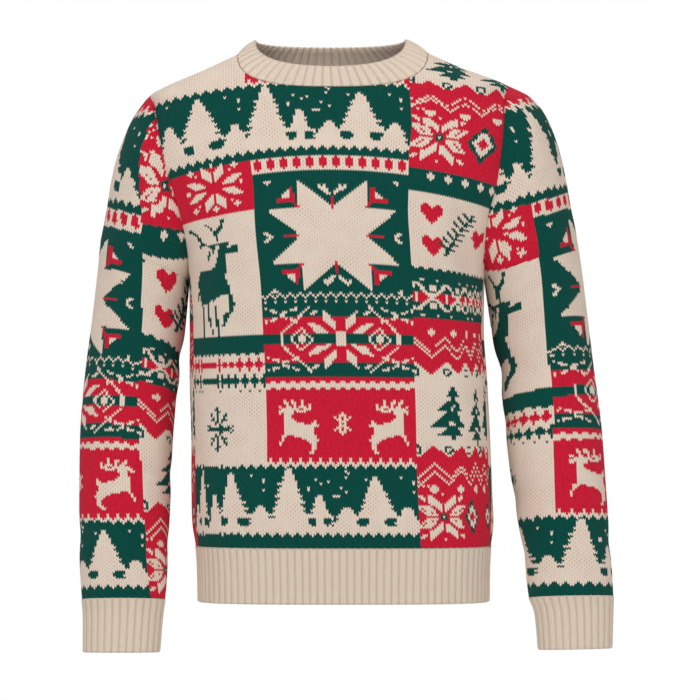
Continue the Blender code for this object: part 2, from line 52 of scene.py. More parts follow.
def node(tree, kind, at, **settings):
    """A shader node, with its settings and with values for its input sockets."""
    made = tree.nodes.new(kind)
    made.location = at
    for name, value in settings.items():
        if hasattr(made, name):
            setattr(made, name, value)
        else:
            made.inputs[name.replace("_", " ")].default_value = value
    return made


def feed(tree, value, socket):
    """A value set on an input socket, or a link to it from an output socket."""
    if hasattr(value, "links"):
        tree.links.new(value, socket)
    else:
        socket.default_value = value


def math_node(tree, operation, *values, clamp=False):
    """The result of a sum on numbers or on what other nodes put out."""
    made = node(tree, "ShaderNodeMath", (0, 0), operation=operation, use_clamp=clamp)
    for value, socket in zip(values, made.inputs):
        feed(tree, value, socket)
    return made.outputs[0]


def mix_colour(tree, blend, share, first, second):
    """Two colours blended by a share."""
    made = node(tree, "ShaderNodeMix", (0, 0), data_type="RGBA", blend_type=blend)
    for value, place in ((share, 0), (first, 6), (second, 7)):
        feed(tree, value, made.inputs[place])
    return made.outputs[2]


def shaded(tree, colour, factor):
    """A colour made lighter or darker by a factor."""
    grey = node(tree, "ShaderNodeCombineColor", (-500, -300))
    for socket in grey.inputs[:3]:
        tree.links.new(factor, socket)
    return mix_colour(tree, "MULTIPLY", 1.0, colour, grey.outputs[0])


def ridges(tree, steps, count):
    """Rounded ridges from 0 to 1, so many to each whole step."""
    turned = math_node(tree, "MULTIPLY", steps, count * np.pi)
    return math_node(tree, "ABSOLUTE", math_node(tree, "SINE", turned))


def mottle(tree, places, scale, detail):
    """Soft uneven noise over the stitches."""
    made = node(tree, "ShaderNodeTexNoise", (-300, 0), noise_dimensions="2D", Scale=scale, Detail=detail)
    tree.links.new(places, made.inputs["Vector"])
    return made.outputs[0]


def stitch_group():
    """The relief of the stitches in a unit of one wale by one course, the painted shade in the grooves
    between them, and how fluffy the yarn is.
    """
    group = bpy.data.node_groups.new("knit_stitches", "ShaderNodeTree")
    group.interface.new_socket("UV", in_out="INPUT", socket_type="NodeSocketVector")
    for name in ("Height", "Groove_Shade", "Peep", "Melange"):
        group.interface.new_socket(name, in_out="OUTPUT", socket_type="NodeSocketFloat")
    places = node(group, "NodeGroupInput", (-900, 0)).outputs[0]
    end = node(group, "NodeGroupOutput", (900, 0))
    split = node(group, "ShaderNodeSeparateXYZ", (-700, 0))
    group.links.new(places, split.inputs[0])
    wale, course = split.outputs[0], split.outputs[1]
    strand = math_node(group, "POWER", ridges(group, course, 1), 0.6)
    edge = ridges(group, wale, 1)
    leg = math_node(group, "MULTIPLY_ADD", ridges(group, wale, 2), 0.45, 0.2)
    body = math_node(group, "MULTIPLY_ADD", edge, 0.35, leg)
    height = math_node(group, "MULTIPLY", strand, body)
    height = math_node(group, "MULTIPLY_ADD", mottle(group, places, 3.1, 4.0), 0.35, height)
    between = math_node(group, "SUBTRACT", 1.0, edge)
    gap = math_node(group, "SUBTRACT", 1.0, strand)
    # Painted shade: darkest between the wales and in the gaps between the courses, where shade falls.
    groove_shade_mask = math_node(group, "MULTIPLY", math_node(group, "POWER", between, 2.0), 0.5)
    groove_shade_mask = math_node(group, "MAXIMUM", groove_shade_mask, math_node(group, "MULTIPLY", gap, 0.75), clamp=True)
    column = math_node(group, "FLOOR", math_node(group, "ADD", wale, 0.5))
    row = math_node(group, "FLOOR", math_node(group, "ADD", course, 0.5))
    parity = math_node(group, "MODULO", math_node(group, "ADD", column, row), 2.0)
    peep = math_node(group, "MULTIPLY", math_node(group, "MULTIPLY", between, gap), parity)
    peep = math_node(group, "MULTIPLY", peep, 2.2, clamp=True)
    patchy = mottle(group, places, 0.09, 2.0)
    patchy = math_node(group, "MULTIPLY_ADD", patchy, 2.6, -0.75, clamp=True)
    peep = math_node(group, "MULTIPLY", peep, patchy)
    for value, socket in zip((height, groove_shade_mask, peep, mottle(group, places, 0.9, 3.0)), end.inputs):
        group.links.new(value, socket)
    return group


STITCHES = stitch_group()


def yarn_material(name, colours, relief, groove_shade, sheen, floats):
    """Knit in the yarns that the mesh's own yarn attribute picks for each stitch, with painted shade in
    the grooves between the stitches.
    """
    material = bpy.data.materials.new(name)
    material.use_nodes = True
    tree = material.node_tree
    shader = tree.nodes["Principled BSDF"]
    shader.inputs["Roughness"].default_value = 0.92
    shader.inputs["Specular IOR Level"].default_value = 0.12
    shader.inputs["Sheen Weight"].default_value = sheen
    shader.inputs["Sheen Roughness"].default_value = 0.5
    shader.inputs["Sheen Tint"].default_value = (0.9, 0.9, 0.9, 1.0)
    places = node(tree, "ShaderNodeUVMap", (-1400, 0), uv_map="stitches")
    stitches = node(tree, "ShaderNodeGroup", (-1200, 0), node_tree=STITCHES)
    tree.links.new(places.outputs[0], stitches.inputs[0])
    yarn = node(tree, "ShaderNodeAttribute", (-1400, -300), attribute_name="yarn")
    picked = node(tree, "ShaderNodeSeparateColor", (-1200, -300))
    tree.links.new(yarn.outputs["Color"], picked.inputs[0])
    red, green = picked.outputs[0], picked.outputs[1]
    colour = mix_colour(tree, "MIX", red, colours[0], colours[2])
    colour = mix_colour(tree, "MIX", green, colour, colours[1])
    dyed = math_node(tree, "MAXIMUM", red, green)
    swing = math_node(tree, "MULTIPLY_ADD", dyed, 0.5, 0.16)
    lightness = math_node(tree, "SUBTRACT", stitches.outputs["Melange"], 0.5)
    lightness = math_node(tree, "MULTIPLY_ADD", lightness, swing, 1.0)
    colour = shaded(tree, colour, lightness)
    float_colour = mix_colour(tree, "MIX", picked.outputs[2], colours[2], colours[1])
    peep = math_node(tree, "MULTIPLY", stitches.outputs["Peep"], floats)
    peep = math_node(tree, "MULTIPLY", peep, math_node(tree, "SUBTRACT", 1.0, dyed))
    colour = mix_colour(tree, "MIX", peep, colour, float_colour)
    # Painted shade: the grooves between the stitches are darkened by groove_shade.
    shade = math_node(tree, "MULTIPLY_ADD", stitches.outputs["Groove_Shade"], -groove_shade, 1.0)
    colour = shaded(tree, colour, shade)
    tree.links.new(colour, shader.inputs["Base Color"])
    bump = node(tree, "ShaderNodeBump", (-200, -300), Strength=1.0, Distance=relief)
    tree.links.new(stitches.outputs["Height"], bump.inputs["Height"])
    tree.links.new(bump.outputs[0], shader.inputs["Normal"])
    return material


JACQUARD = yarn_material("jacquard_yarn", (CREAM, GREEN, RED), 0.0005, 0.32, 0.05, 0.8)


# The cloth. One jacquard pattern in three columns of patches, which every knitted piece is cut from.
# It is drawn here stitch by stitch: each motif is filled in by its outline in wales and courses.

CLOTH_COURSES, CLOTH_WALES, FIRST_WALE = 290, 180, -4
LEFT_EDGE, RIGHT_EDGE, REPEAT = 56, 116, 187
cream, green, red = 0, 1, 2         # the yarns, as the cloth numbers them
course, wale = np.mgrid[0:CLOTH_COURSES, 0:CLOTH_WALES] + 0.5
wale += FIRST_WALE
cloth = np.zeros(course.shape, int)
LEFT, RIGHT = wale < LEFT_EDGE, wale > RIGHT_EDGE
CENTRE = ~LEFT & ~RIGHT
DOTTED = (np.floor(wale) + np.floor(course)) % 2 == 0


def table(columns, *rows):
    """A short table of sizes, as one named column of numbers each."""
    return dict(zip(columns.split(), np.array(rows, float).T))


def wave(period, peak, low, high):
    """A zigzag across the cloth, highest at the peak wale."""
    off = np.abs((wale - peak + period / 2) % period - period / 2)
    return high - (high - low) * off / (period / 2)


def between(low, high):
    """The stitches from one course up to another."""
    return (course >= low) & (course < high)


def by_wale(x, reach):
    """The stitches that are less than a reach from a wale."""
    return np.abs(wale - x) < reach


def by_course(y, reach):
    """The stitches that are less than a reach from a course."""
    return np.abs(course - y) < reach


def shape(points):
    """The stitches inside an outline of wales and courses."""
    found = np.zeros(course.shape, bool)
    for (x0, y0), (x1, y1) in zip(points, points[1:] + points[:1]):
        if y0 != y1:
            cross = x0 + (course - y0) / (y1 - y0) * (x1 - x0)
            found ^= ((course > y0) != (course > y1)) & (wale < cross)
    return found


def strokes(width, *lines):
    """The stitches along lines of wales and courses, so wide."""
    found = np.zeros(course.shape, bool)
    for line in lines:
        for (x0, y0), (x1, y1) in zip(line, line[1:]):
            across, rise = x1 - x0, y1 - y0
            share = ((wale - x0) * across + (course - y0) * rise) / max(across ** 2 + rise ** 2, 1e-6)
            share = np.clip(share, 0, 1)
            found |= np.hypot(wale - x0 - share * across, course - y0 - share * rise) < width / 2
    return found


def all_round(x, y, points, width=None):
    """The stitches inside an outline, or along a line so wide, and in its mirror images round a centre."""
    found = np.zeros(course.shape, bool)
    for side in (-1, 1):
        for up in (-1, 1):
            line = [(x + side * out, y + up * rise) for out, rise in points]
            found |= shape(line) if width is None else strokes(width, line)
    return found


def stamp(rows, wale_at, course_at, yarn=cream, mirrored=False):
    """A small motif from rows of marks, top row first, centred on a wale and a course."""
    top = int(round(course_at + len(rows) / 2)) - 1
    for down, row in enumerate(rows):
        left = int(round(wale_at - len(row) / 2)) - FIRST_WALE
        for step, mark in enumerate(row[::-1] if mirrored else row):
            if mark == "#":
                cloth[top - down, (left + step) % CLOTH_WALES] = yarn


CROSS = (".#.", "###", "###", ".#.")
FLOWER = (".##.", "####", "####", ".##.")
SPRIG = ("#.#", "###", ".#.")
CHEVRON = (".##", "##.")
SMALL_SNOWFLAKE = """
...#...
..###..
#.#.#.#
.##.##.
..###..
..#.#..
..###..
.##.##.
#.#.#.#
..###..
...#...
""".split()
LEAPING_DEER = """
..#..#...#.......
..##.##..#.......
...#..#..#..#....
#..##.#.###.#....
.#######..###....
######.####......
#.####...........
..###............
..###............
..####...........
..#####.......#..
..########...##..
..##############.
..############...
..############...
..############...
..############...
.##...#########..
.#.......######..
.#.........#####.
#...........###..
#............##..
.............##..
.............##..
.............#...
............##...
""".split()
HEART = """
.##...##.
####.####
#########
#########
#########
.#######.
..#####..
..#####..
...###...
....#....
""".split()
CRYSTAL = """
..........#..........
........#.#.#........
.........###.........
....#.....#.....#....
....##....#....##....
.....##...#...##.....
...#####..#..#####...
.......##.#.##.......
........##.##........
#.#....#.#.#.#....#.#
.#############.#####.
#####.#############.#
.#.#...#.#.#.#...#.#.
........##.##........
.......##.#.##.......
...#####..#..#####...
.....##...#...##.....
....##....#....##....
....#.....#.....#....
.........###.........
........#.#.#........
..........#..........
""".split()

# The trees in snow, along the hem and again across the chest.
TREES = table(
    "tip_wale tip_course left right hollows",
    (3.0, 22.0, 5.5, 5.5, 0),
    (13.5, 38.5, 7.0, 6.0, 1),
    (27.5, 26.5, 5.0, 6.0, 0),
    (39.5, 37.0, 7.0, 9.0, 1),
    (53.0, 21.5, 5.0, 5.0, 0),
    (65.0, 39.5, 7.5, 6.5, 0),
    (77.0, 26.5, 4.5, 3.5, 1),
    (87.5, 20.5, 6.0, 6.0, 0),
    (99.0, 35.0, 7.5, 8.5, 1),
    (111.5, 20.5, 5.0, 5.0, 0),
)
SNOW_DOTS = (
    (28, 40), (27, 36), (49.5, 35), (54.5, 33), (54.5, 32), (54.8, 28), (80, 32), (75, 33), (77.5, 31),
    (72.5, 29), (72.5, 28), (87, 37), (88, 36), (87.3, 34), (85, 29), (87.5, 27), (82, 25), (83, 25),
    (84, 25), (109.5, 34), (114, 32), (114, 31), (114.3, 27), (8, 33), (7.5, 28), (21, 34), (20, 30),
    (60.5, 31), (95, 33),
)
for base, slip, first in ((0, 0.0, 0), (REPEAT, -1.5, 3)):
    band = ~RIGHT & between(base + first, base + 41)
    cloth[band] = green
    snow = wave(4, 59.5, base + 6.2, base + 8.4)
    cloth[~RIGHT & (course > snow) & (course < base + 10.5)] = cream
    for x, tip, left, right, hollows in zip(*TREES.values()):
        x, foot = x + slip, base + 9.0
        drop = np.clip((base + tip - course) / (tip - 9.0), 0, 1)
        tier = 1.1 + 0.17 * (np.floor(base + tip - course) % 3 - 1) * (drop < 0.8)
        reach = np.where(wale < x, left, right) * drop ** 0.85 * tier
        cloth[band & (course > foot) & (drop > 0) & by_wale(x, reach + 0.6)] = cream
        for side, width in ((-1, left), (1, right)):
            if hollows:
                off = (wale - x - side * width * 0.70) / (width * 0.34)
                cloth[band & (off ** 2 + ((course - base - 13.2) / 2.2) ** 2 < 1)] = green
                twig = [(x + side * width * 0.55, base + 17.5), (x + side * (width + 1.2), base + 15.0)]
                cloth[band & strokes(1.2, twig)] = cream
    for x, y in SNOW_DOTS:
        dot = by_wale(np.floor(x + slip) + 0.5, 0.3) & by_course(base + y + 0.5, 0.3)
        cloth[band & dot & (cloth == green)] = cream
    top = wave(4, 57.5, base + 38.6, base + 41.4)
    cloth[~RIGHT & (course > top) & (course < base + 60)] = cream
    cloth[CENTRE & (course > top + 2.2) & (course < base + 77)] = red

# The left column: a snow crystal, two rows of diamonds, a reindeer and a snowflake.
cloth[LEFT & between(44, 95)] = cream
stamp(CRYSTAL, 31.0, 58.0, green)
cloth[LEFT & between(75.8, 77.0) & (np.floor(wale) % 4 == 1)] = green
for middle, yarn, first in ((81.4, green, 1), (89.4, red, 3)):
    off = np.abs((np.floor(wale) - first) % 4 - 2)
    cloth[LEFT & (off * 1.2 + np.abs(course - middle) * 0.8 < 2.5)] = yarn
cloth[LEFT & (course > wave(4, 55, 93.2, 95.8)) & (course < 104)] = green
cloth[LEFT & between(104, 166)] = cream
body = shape([(19, 139), (14, 132), (16, 123), (21, 121), (29, 122.5), (38, 125), (41, 124.5), (43, 129),
              (41, 134), (42.5, 140), (42.5, 145.5), (47.5, 146), (47.8, 150), (44, 150.5), (43.5, 152.5),
              (38, 151.5), (37, 146), (35, 141), (30, 139)])
legs = strokes(2.6, [(41.5, 128), (43.3, 120), (42.5, 116.5), (38.6, 113), (37.6, 109.5)])
legs |= strokes(1.7, [(31, 124), (32.5, 114), (34, 104)])
legs |= strokes(1.3, [(25, 122), (26, 112), (29.5, 104.5)])
legs |= strokes(1.9, [(18, 126), (19.5, 116), (18.5, 104)]) | strokes(1.6, [(15, 130), (12.5, 124)])
antlers = strokes(
    1.5,
    [(38.5, 151), (38, 157), (36, 160.5), (33.5, 163)],
    [(38, 157), (41, 160), (42, 163)],
    [(38.5, 151.5), (33, 151.5), (29, 153), (27.5, 158), (24, 161)],
    [(33, 151), (31.5, 147), (30, 145)],
    [(29, 153), (26.5, 152)],
    [(35, 151), (34.5, 148)],
)
cloth[LEFT & (body | legs | antlers)] = green
cloth[LEFT & strokes(1.1, [(43.8, 149.8), (44.2, 149.8)])] = cream
cloth[LEFT & between(166, 190.5)] = red
x, y = 40.5, 180.0
cloth[all_round(x, y, [(0.8, 2.6), (4.1, 6.6), (4.7, 12.0), (0.9, 7.5)])] = cream
cloth[all_round(x, y, [(2.2, 0.8), (8.0, 1.2), (12.5, 5.5), (6.0, 4.1)])] = cream
off, rise = np.abs(wale - x), np.abs(course - y)
cloth[(np.abs(off - 7) < 0.6) & (np.abs(rise - 7.2) < 0.6)] = cream
cloth[(np.abs(off - 9) + np.abs(rise - 9.2)) < 1.6] = cream
for x, y in ((40.5, 191.0), (40.5, 169.5), (29.0, 180.2), (51.6, 181.0)):
    cloth[(np.abs(wale - x) + np.abs(course - y)) < 1.2] = cream

# The centre column: leaping deer, a band with a large snowflake, a star and a row of red checks.
for x, mirrored in ((69.6, False), (104.2, True)):
    stamp(LEAPING_DEER, x, 59.5, mirrored=mirrored)
stamp(SMALL_SNOWFLAKE, 86.5, 61.0)
cloth[CENTRE & between(76.5, 83.5)] = red
edge = wave(4, 59.0, 76.8, 78.6)
cloth[CENTRE & (course > edge) & (course < edge + 2.6)] = cream
for low, high, yarn in ((83.5, 90.5, green), (90.5, 99.4, red), (99.4, 103.7, green), (103.7, 112.5, red),
                        (112.5, 183.4, green)):
    cloth[CENTRE & between(low, high)] = yarn
MIDDLE, MIDDLE_COURSE = 86.8, 101.2
petals = all_round(MIDDLE, 101.0, [(6.8, 14.5), (6.5, 9.0), (2.0, 4.2), (2.0, 8.8)])
petals |= all_round(MIDDLE, 101.15, [(13.5, 8.15), (8.8, 7.05), (4.0, 2.55), (9.3, 2.85)])
petals |= by_wale(MIDDLE, 2.1) & by_course(MIDDLE_COURSE, 3.4)
cloth[CENTRE & petals] = cream
aside, height = np.abs(wale - MIDDLE), np.abs(course - MIDDLE_COURSE)
off = np.abs(aside - 15.5)
ring = (np.abs(height - 5.3 + off * 1.2) < 0.62) & (off < 4.6)
ring |= (np.abs(height - 2.9 - (23.4 - aside) * 1.11) < 0.6) & (aside < 23.4) & (aside > 11.5)
ring |= (np.abs(aside - 23.3) < 0.7) & (height < 2.4)
ring |= (off < 1.6) & (height < 1.6) | (off < 0.6) & (height < 2.6)
cloth[CENTRE & ring] = cream
for x in (MIDDLE - 10.2, MIDDLE + 10.2):
    for y in (88.2, 114.2):
        stamp(CHEVRON, x, y)
ripple = np.abs(aside - 23.0)
lines = (np.abs(height - 12.4 - ripple * 0.42) < 0.65) | (np.abs(height - 11.3 + ripple * 0.42) < 0.65)
cloth[CENTRE & lines & (ripple < 6.5) & (np.floor(wale) % 4 != 2)] = cream
cloth[CENTRE & by_course(wave(4, 59.5, 121.0, 123.4), 0.9) & DOTTED] = cream
cloth[CENTRE & between(119, 120) & (np.floor(wale) % 4 == 1)] = cream
STAR_X, STAR_Y = 86.4, 151.5
aside, height = np.abs(wale - STAR_X), np.abs(course - STAR_Y)
star = all_round(STAR_X, STAR_Y, [(0, 0), (0, 13.5), (13.5, 27.0), (13.5, 13.5)])
star |= all_round(STAR_X, STAR_Y, [(0, 0), (13.5, 13.5), (25.3, 13.5), (13.0, 0)])
cloth[CENTRE & star] = cream
darts = (aside < 0.8) & (np.abs(height - 15.5) < 3.4) | (height < 0.8) & (np.abs(aside - 16.2) < 3.2)
darts |= all_round(STAR_X, STAR_Y, [(15.9, 22.8), (15.6, 17.3), (20.8, 17.3)], 1.8)
darts |= all_round(STAR_X, STAR_Y, [(13.4, 14.2), (15.6, 17.3)], 1.2)
cloth[CENTRE & darts] = red
corners = all_round(STAR_X, STAR_Y, [(16.7, 18.4), (20.4, 18.4), (16.7, 22.4)])
corners |= all_round(STAR_X, STAR_Y, [(23.0, 27.6), (26.0, 27.6), (25.6, 24.4)])
corners |= all_round(STAR_X, STAR_Y, [(1, 20.0), (3.5, 22.6)], 1.5)
corners |= all_round(STAR_X, STAR_Y, [(24, 0), (26.5, 2.4)], 1.4)
cloth[CENTRE & corners] = cream
for x in (STAR_X - 4.0, STAR_X + 4.0):
    for y in (STAR_Y - 23.0, STAR_Y + 23.0):
        stamp(SPRIG, x, y)
cloth[CENTRE & between(183.4, 190.4)] = cream
off, height = np.abs((wale - 58.5 + 2.5) % 5 - 2.5), np.abs(course - 187.0)
cloth[CENTRE & ((off < 1.6) & (height < 2.1) | (off < 0.6) & (height < 3.4))] = red


def ring_row(base, y):
    """A row of small green rings on the right column's zigzag, at a course over its base."""
    for x in (116.5, 129.8, 143.0, 156.2, 169.4):
        oval = ((wale - x) / 1.9) ** 2 + ((course - base - y) / 2.3) ** 2
        cloth[RIGHT & (oval < 1)] = green
        cloth[RIGHT & (oval < 0.22)] = cream


def double_zigzag(peak, fall, y):
    """Two dotted zigzags in the right column, one under the other, the upper one's peaks at a course."""
    for top in (y, y - 3.2):
        cloth[RIGHT & by_course(wave(13.2, peak, top - fall, top), 0.95) & DOTTED] = cream


# The right column: a snowflake under zigzags, pines, a lattice of diamonds and a patch of hearts.
for base in (0, REPEAT):
    hill = wave(13.2, 123.4, base + 44.4, base + 50.4)
    cloth[RIGHT & (course > base) & (course < hill)] = red
    cloth[RIGHT & (course > hill) & (course < base + 84)] = cream
    double_zigzag(123.4, 6.2, base + 41.0)
    cloth[RIGHT & between(base + 30.5, base + 31.5) & (wale < 121) & (np.floor(wale) % 2 == 0)] = cream
    for x in (123.4, 136.0, 149.0, 162.0):
        stamp(FLOWER, x, base + 29.0)
    ring_row(base, 48.2)
    x, y = 126.4, base + 15.4
    petals = all_round(x, y, [(0.7, 2.6), (0.7, 6.6), (6.3, 11.4), (6.3, 7.2)])
    petals |= all_round(x, y, [(2.0, 0.6), (5.6, 5.4), (11.6, 5.6), (6.6, 0.2)])
    cloth[RIGHT & petals] = cream
    cloth[RIGHT & all_round(x, y, [(5, 1.6), (9, 4.2)], 1.0) & DOTTED] = red
    cloth[RIGHT & all_round(x, y, [(8.2, 8.6), (9.6, 10.0)], 1.3)] = cream
    off, rise = np.abs(wale - x), np.abs(course - y)
    cloth[RIGHT & (off < 0.7) & (np.abs(rise - 10.8) < 0.7)] = cream
    centre = (off / 1.7) ** 2 + (rise / 1.9) ** 2
    cloth[RIGHT & (centre < 1)] = green
    cloth[RIGHT & (centre < 0.2)] = cream
    for x in (143.5, 166.0):
        for size, yarn in ((6.5, green), (4.4, cream), (2.2, red)):
            cloth[RIGHT & (np.abs(wale - x) + rise / 1.3 < size)] = yarn
    for x, tip in ((132.5, 80.5), (153.0, 78.0), (172.5, 80.5)):
        drop = base + tip - course
        tiers = [drop < 6.5, drop < 13.5, drop < 21.5, drop < 25.5]
        left_reach = [0.3 + drop * 0.5, drop * 0.95 - 5.3, drop * 1.05 - 11.6, drop * 1.1 - 20.5]
        right_reach = [0.3 + drop * 0.5, drop * 0.75 - 4.1, drop * 0.66 - 7.2, drop * 0.9 - 17.0]
        reach = np.where(wale < x, np.select(tiers, left_reach, 1.2), np.select(tiers, right_reach, 1.2))
        pine = (drop > 0) & (drop < 28) & by_wale(x, reach)
        cloth[RIGHT & pine] = green
        for out, down in ((0.2, 5.5), (-1.8, 7.2), (0.8, 11.0), (-0.6, 12.6), (-1.5, 19.5), (1.0, 20.2)):
            cloth[pine & (np.abs(wale - x - out) < 0.6) & (np.abs(drop - down) < 0.8)] = cream
cloth[RIGHT & (course > wave(13.2, 129.8, 84.8, 91.2)) & (course < 112.7)] = red
ring_row(0, 86.2)
double_zigzag(129.8, 6.8, 103.0)
for x in (123.6, 134.6, 145.6, 156.6, 167.6):
    stamp(CROSS, x, 106.5)
cloth[RIGHT & between(112.7, 187)] = green
cloth[RIGHT & (course > wave(4, 118.0, 139.8, 137.2)) & (course < 175.8)] = cream
off, height = np.abs((wale - 130.8 + 6.6) % 13.2 - 6.6), np.abs(course - 123.7)
cloth[RIGHT & (height < 1.8) & (off > 3.6)] = cream
cloth[RIGHT & (np.abs(off + (height - 2) * 0.75 - 4.2) < 1.0) & (height < 7.0)] = cream
cloth[RIGHT & (off * 0.8 + height < 4.6) & (height < 2.7)] = red
cloth[RIGHT & (off < 0.55) & (height < 2.7)] = cream
cloth[RIGHT & (off > 5.1) & (np.abs(height - 4.6) < 1.5)] = cream
for y in (132.6, 114.6):
    cloth[RIGHT & by_course(y, 0.7) & ((wale - 119.4) % 6.6 < 1.1)] = cream
for x in (124.3, 131.4, 138.2, 145.2, 152.0, 159.0, 166.0, 173.0):
    stamp(CROSS, x, 184.0)
for x, y in ((125.5, 166.0), (125.5, 150.0), (150.0, 158.0), (166.0, 166.0), (166.0, 150.0)):
    stamp(HEART, x, y, red)
sprig = strokes(1.6, [(131, 146.5), (144, 169)])
for step in range(7):
    x, y = 132.5 + step * 1.7, 149.0 + step * 2.95
    sprig |= strokes(1.3, [(x, y), (x - 3.6, y + 3.2)], [(x, y), (x + 4.2, y + 0.8)])
cloth[RIGHT & sprig & (wale < 147)] = green


def cut(piece_courses, piece_wales):
    """The yarns of a piece whose stitches lie on these courses and wales of the cloth."""
    rows = np.clip(np.floor(piece_courses).astype(int), 0, CLOTH_COURSES - 1)
    columns = (np.floor(piece_wales).astype(int) - FIRST_WALE) % CLOTH_WALES
    return cloth[rows, columns]


# Front panel. Stranded jacquard knit from the hem rib to the shoulders, with a crew neckline and
# curved armholes. Its wales run straight up, and its courses sag a little towards the sides.

MM = 0.001
COURSE = 2.55
DIP = 0.95                  # how far a V's point hangs below its two tips, in courses
STITCH_RISE = 0.22
FLOAT_COURSES = 9           # how many courses one yarn floats behind before another does
HEM_SEAM, HEM_EDGE = -606.0, -676.0
UNDERARM, SHOULDER_TIP, NECK_POINT = -275.0, -36.0, 7.5
ARMHOLE_HALF_WIDTH = 62.0
SHOULDER_LIFT, SHOULDER_REACH, LIFT_FROM, LIFT_TO = 5.5, 220.0, -250.0, -60.0
NECK_HALF_WIDTH, NECK_CENTRE_X, NECK_ROUNDNESS = 118.5, 6.0, 2.8
NECK_DROPS = {-1: 44.5, 1: 16.0}
CREST_FROM, CREST_STEPS = -75.0, 160    # above this height the knit turns over the shoulders
FOLDS_FADE = 25.0           # the folds fade out this near to the hem's seam


TORSO = table(
    "height   half_width centre_x front back squareness",
    (-676.0, 181.5, 19.5, 112, 105, 3.0),
    (-640.0, 182.0, 19.4, 113, 106, 3.0),
    (-606.0, 184.0, 19.2, 115, 108, 3.0),
    (-585.0, 187.2, 18.8, 119, 111, 3.0),
    (-540.0, 187.5, 17.3, 120, 109, 3.0),
    (-475.0, 186.3, 16.0, 119, 102, 3.0),
    (-400.0, 185.5, 13.0, 120, 100, 2.9),
    (-340.0, 183.4, 11.0, 123, 104, 2.8),
    (-300.0, 183.7, 11.0, 126, 110, 2.7),
    (-275.0, 184.2, 11.0, 127, 114, 2.6),
    (-231.0, 185.3, 9.7, 127, 120, 2.5),
    (-202.0, 189.4, 8.3, 125, 124, 2.4),
    (-160.0, 201.0, 8.0, 118, 125, 2.4),
    (-121.0, 209.4, 5.7, 107, 121, 2.4),
    (-88.0, 213.7, 4.5, 96, 113, 2.4),
    (-54.0, 217.5, 2.3, 85, 100, 2.4),
    (-36.0, 218.8, 1.5, 78, 91, 2.4),
    (-28.5, 202.8, 2.2, 74, 85, 2.4),
    (-11.5, 160.1, 4.1, 66, 74, 2.4),
    (7.5, 118.5, 6.0, 55, 60, 2.4),
)
# How much lower a course lies SAG_REACH out from the centre line than on it, how wide a wale is
# drawn, and how far to the right the middle wale lies.
SAG_REACH = 200.0
KNIT = table(
    "height sag wale drift",
    (-606, 0, 3.13, 2.0),
    (-500, 2, 3.08, 1.0),
    (-400, 4, 3.07, 2.5),
    (-313, 12, 3.11, 1.5),
    (-225, 24, 3.17, -2.9),
    (-131, 28, 3.24, -4.1),
    (-63, 17, 3.43, -2.0),
    (-33, 10, 3.43, -2.0),
)
FRONT_FOLDS = table(
    "start_x start_height end_x end_height half_width depth",
    (-158, -285, -140, -205, 18, 4.5),
    (182, -285, 166, -200, 18, 5.0),
    (-150, -250, -82, -170, 22, 3.0),
    (172, -250, 100, -185, 22, 3.0),
    (-140, -345, -60, -395, 26, 2.5),
    (165, -370, 80, -405, 26, 2.5),
    (-128, -450, -110, -585, 20, 2.5),
    (140, -470, 150, -590, 18, 3.0),
    (-20, -470, 40, -585, 34, -2.0),
)
BACK_FOLDS = table(
    "start_x start_height end_x end_height half_width depth",
    (-160, -285, -120, -190, 19, 4.5),
    (182, -285, 140, -195, 19, 4.5),
    (-90, -380, 100, -400, 26, 3.0),
    (-120, -455, 20, -440, 24, 2.5),
    (60, -480, 150, -455, 22, 2.5),
    (-30, -60, 60, -58, 18, 2.0),
)


def read(sizes, column, where, along="height"):
    """The column's value between the rows of a table, on a smooth curve."""
    order = np.argsort(sizes[along])
    knots, values = sizes[along][order], sizes[column][order]
    slopes = np.gradient(values, knots)
    where = np.clip(where, knots[0], knots[-1])
    row = np.clip(np.searchsorted(knots, where, side="right") - 1, 0, len(knots) - 2)
    span = knots[row + 1] - knots[row]
    s = (where - knots[row]) / span
    from_values = (1 + 2 * s) * (1 - s) ** 2 * values[row] + s ** 2 * (3 - 2 * s) * values[row + 1]
    from_slopes = s * (1 - s) ** 2 * slopes[row] - s ** 2 * (1 - s) * slopes[row + 1]
    return from_values + span * from_slopes


def ease(value, start, end):
    """0 up to start, 1 from end on, and smooth between them."""
    s = np.clip((value - start) / (end - start), 0, 1)
    return s * s * (3 - 2 * s)


def unit(vectors):
    """Vectors of length 1 in the same directions."""
    return vectors / np.maximum(np.linalg.norm(vectors, axis=-1, keepdims=True), 1e-9)


def run_of(points):
    """The length run along each line of points, whose last two axes are the points and X, Y, Z."""
    steps = np.linalg.norm(np.diff(points, axis=-2), axis=-1)
    return np.concatenate([np.zeros((*steps.shape[:-1], 1)), np.cumsum(steps, axis=-1)], axis=-1)


def fold_depth(folds, x, height):
    """How deep the folds of a panel push its knit in."""
    depth = np.zeros(np.broadcast(x, height).shape)
    for start_x, start_z, end_x, end_z, half_width, most in zip(*folds.values()):
        run = np.array([end_x - start_x, end_z - start_z])
        share = ((x - start_x) * run[0] + (height - start_z) * run[1]) / (run @ run)
        nearest = np.clip(share, 0, 1)
        away = np.hypot(x - start_x - nearest * run[0], height - start_z - nearest * run[1])
        depth += most * np.exp(-((away / half_width) ** 2))
    return depth


def full_half_width(height):
    """Half a section's width with the part that runs on, unseen, past the armhole seam."""
    middle, half = (SHOULDER_TIP + UNDERARM) / 2, (SHOULDER_TIP - UNDERARM) / 2
    depth = ARMHOLE_HALF_WIDTH * np.sqrt(np.clip(1 - ((height - middle) / half) ** 2, 0, 1))
    power = read(TORSO, "squareness", height)
    seam_share = depth / read(TORSO, "front", height)
    return read(TORSO, "half_width", height) / (1 - seam_share ** power) ** (1 / power)


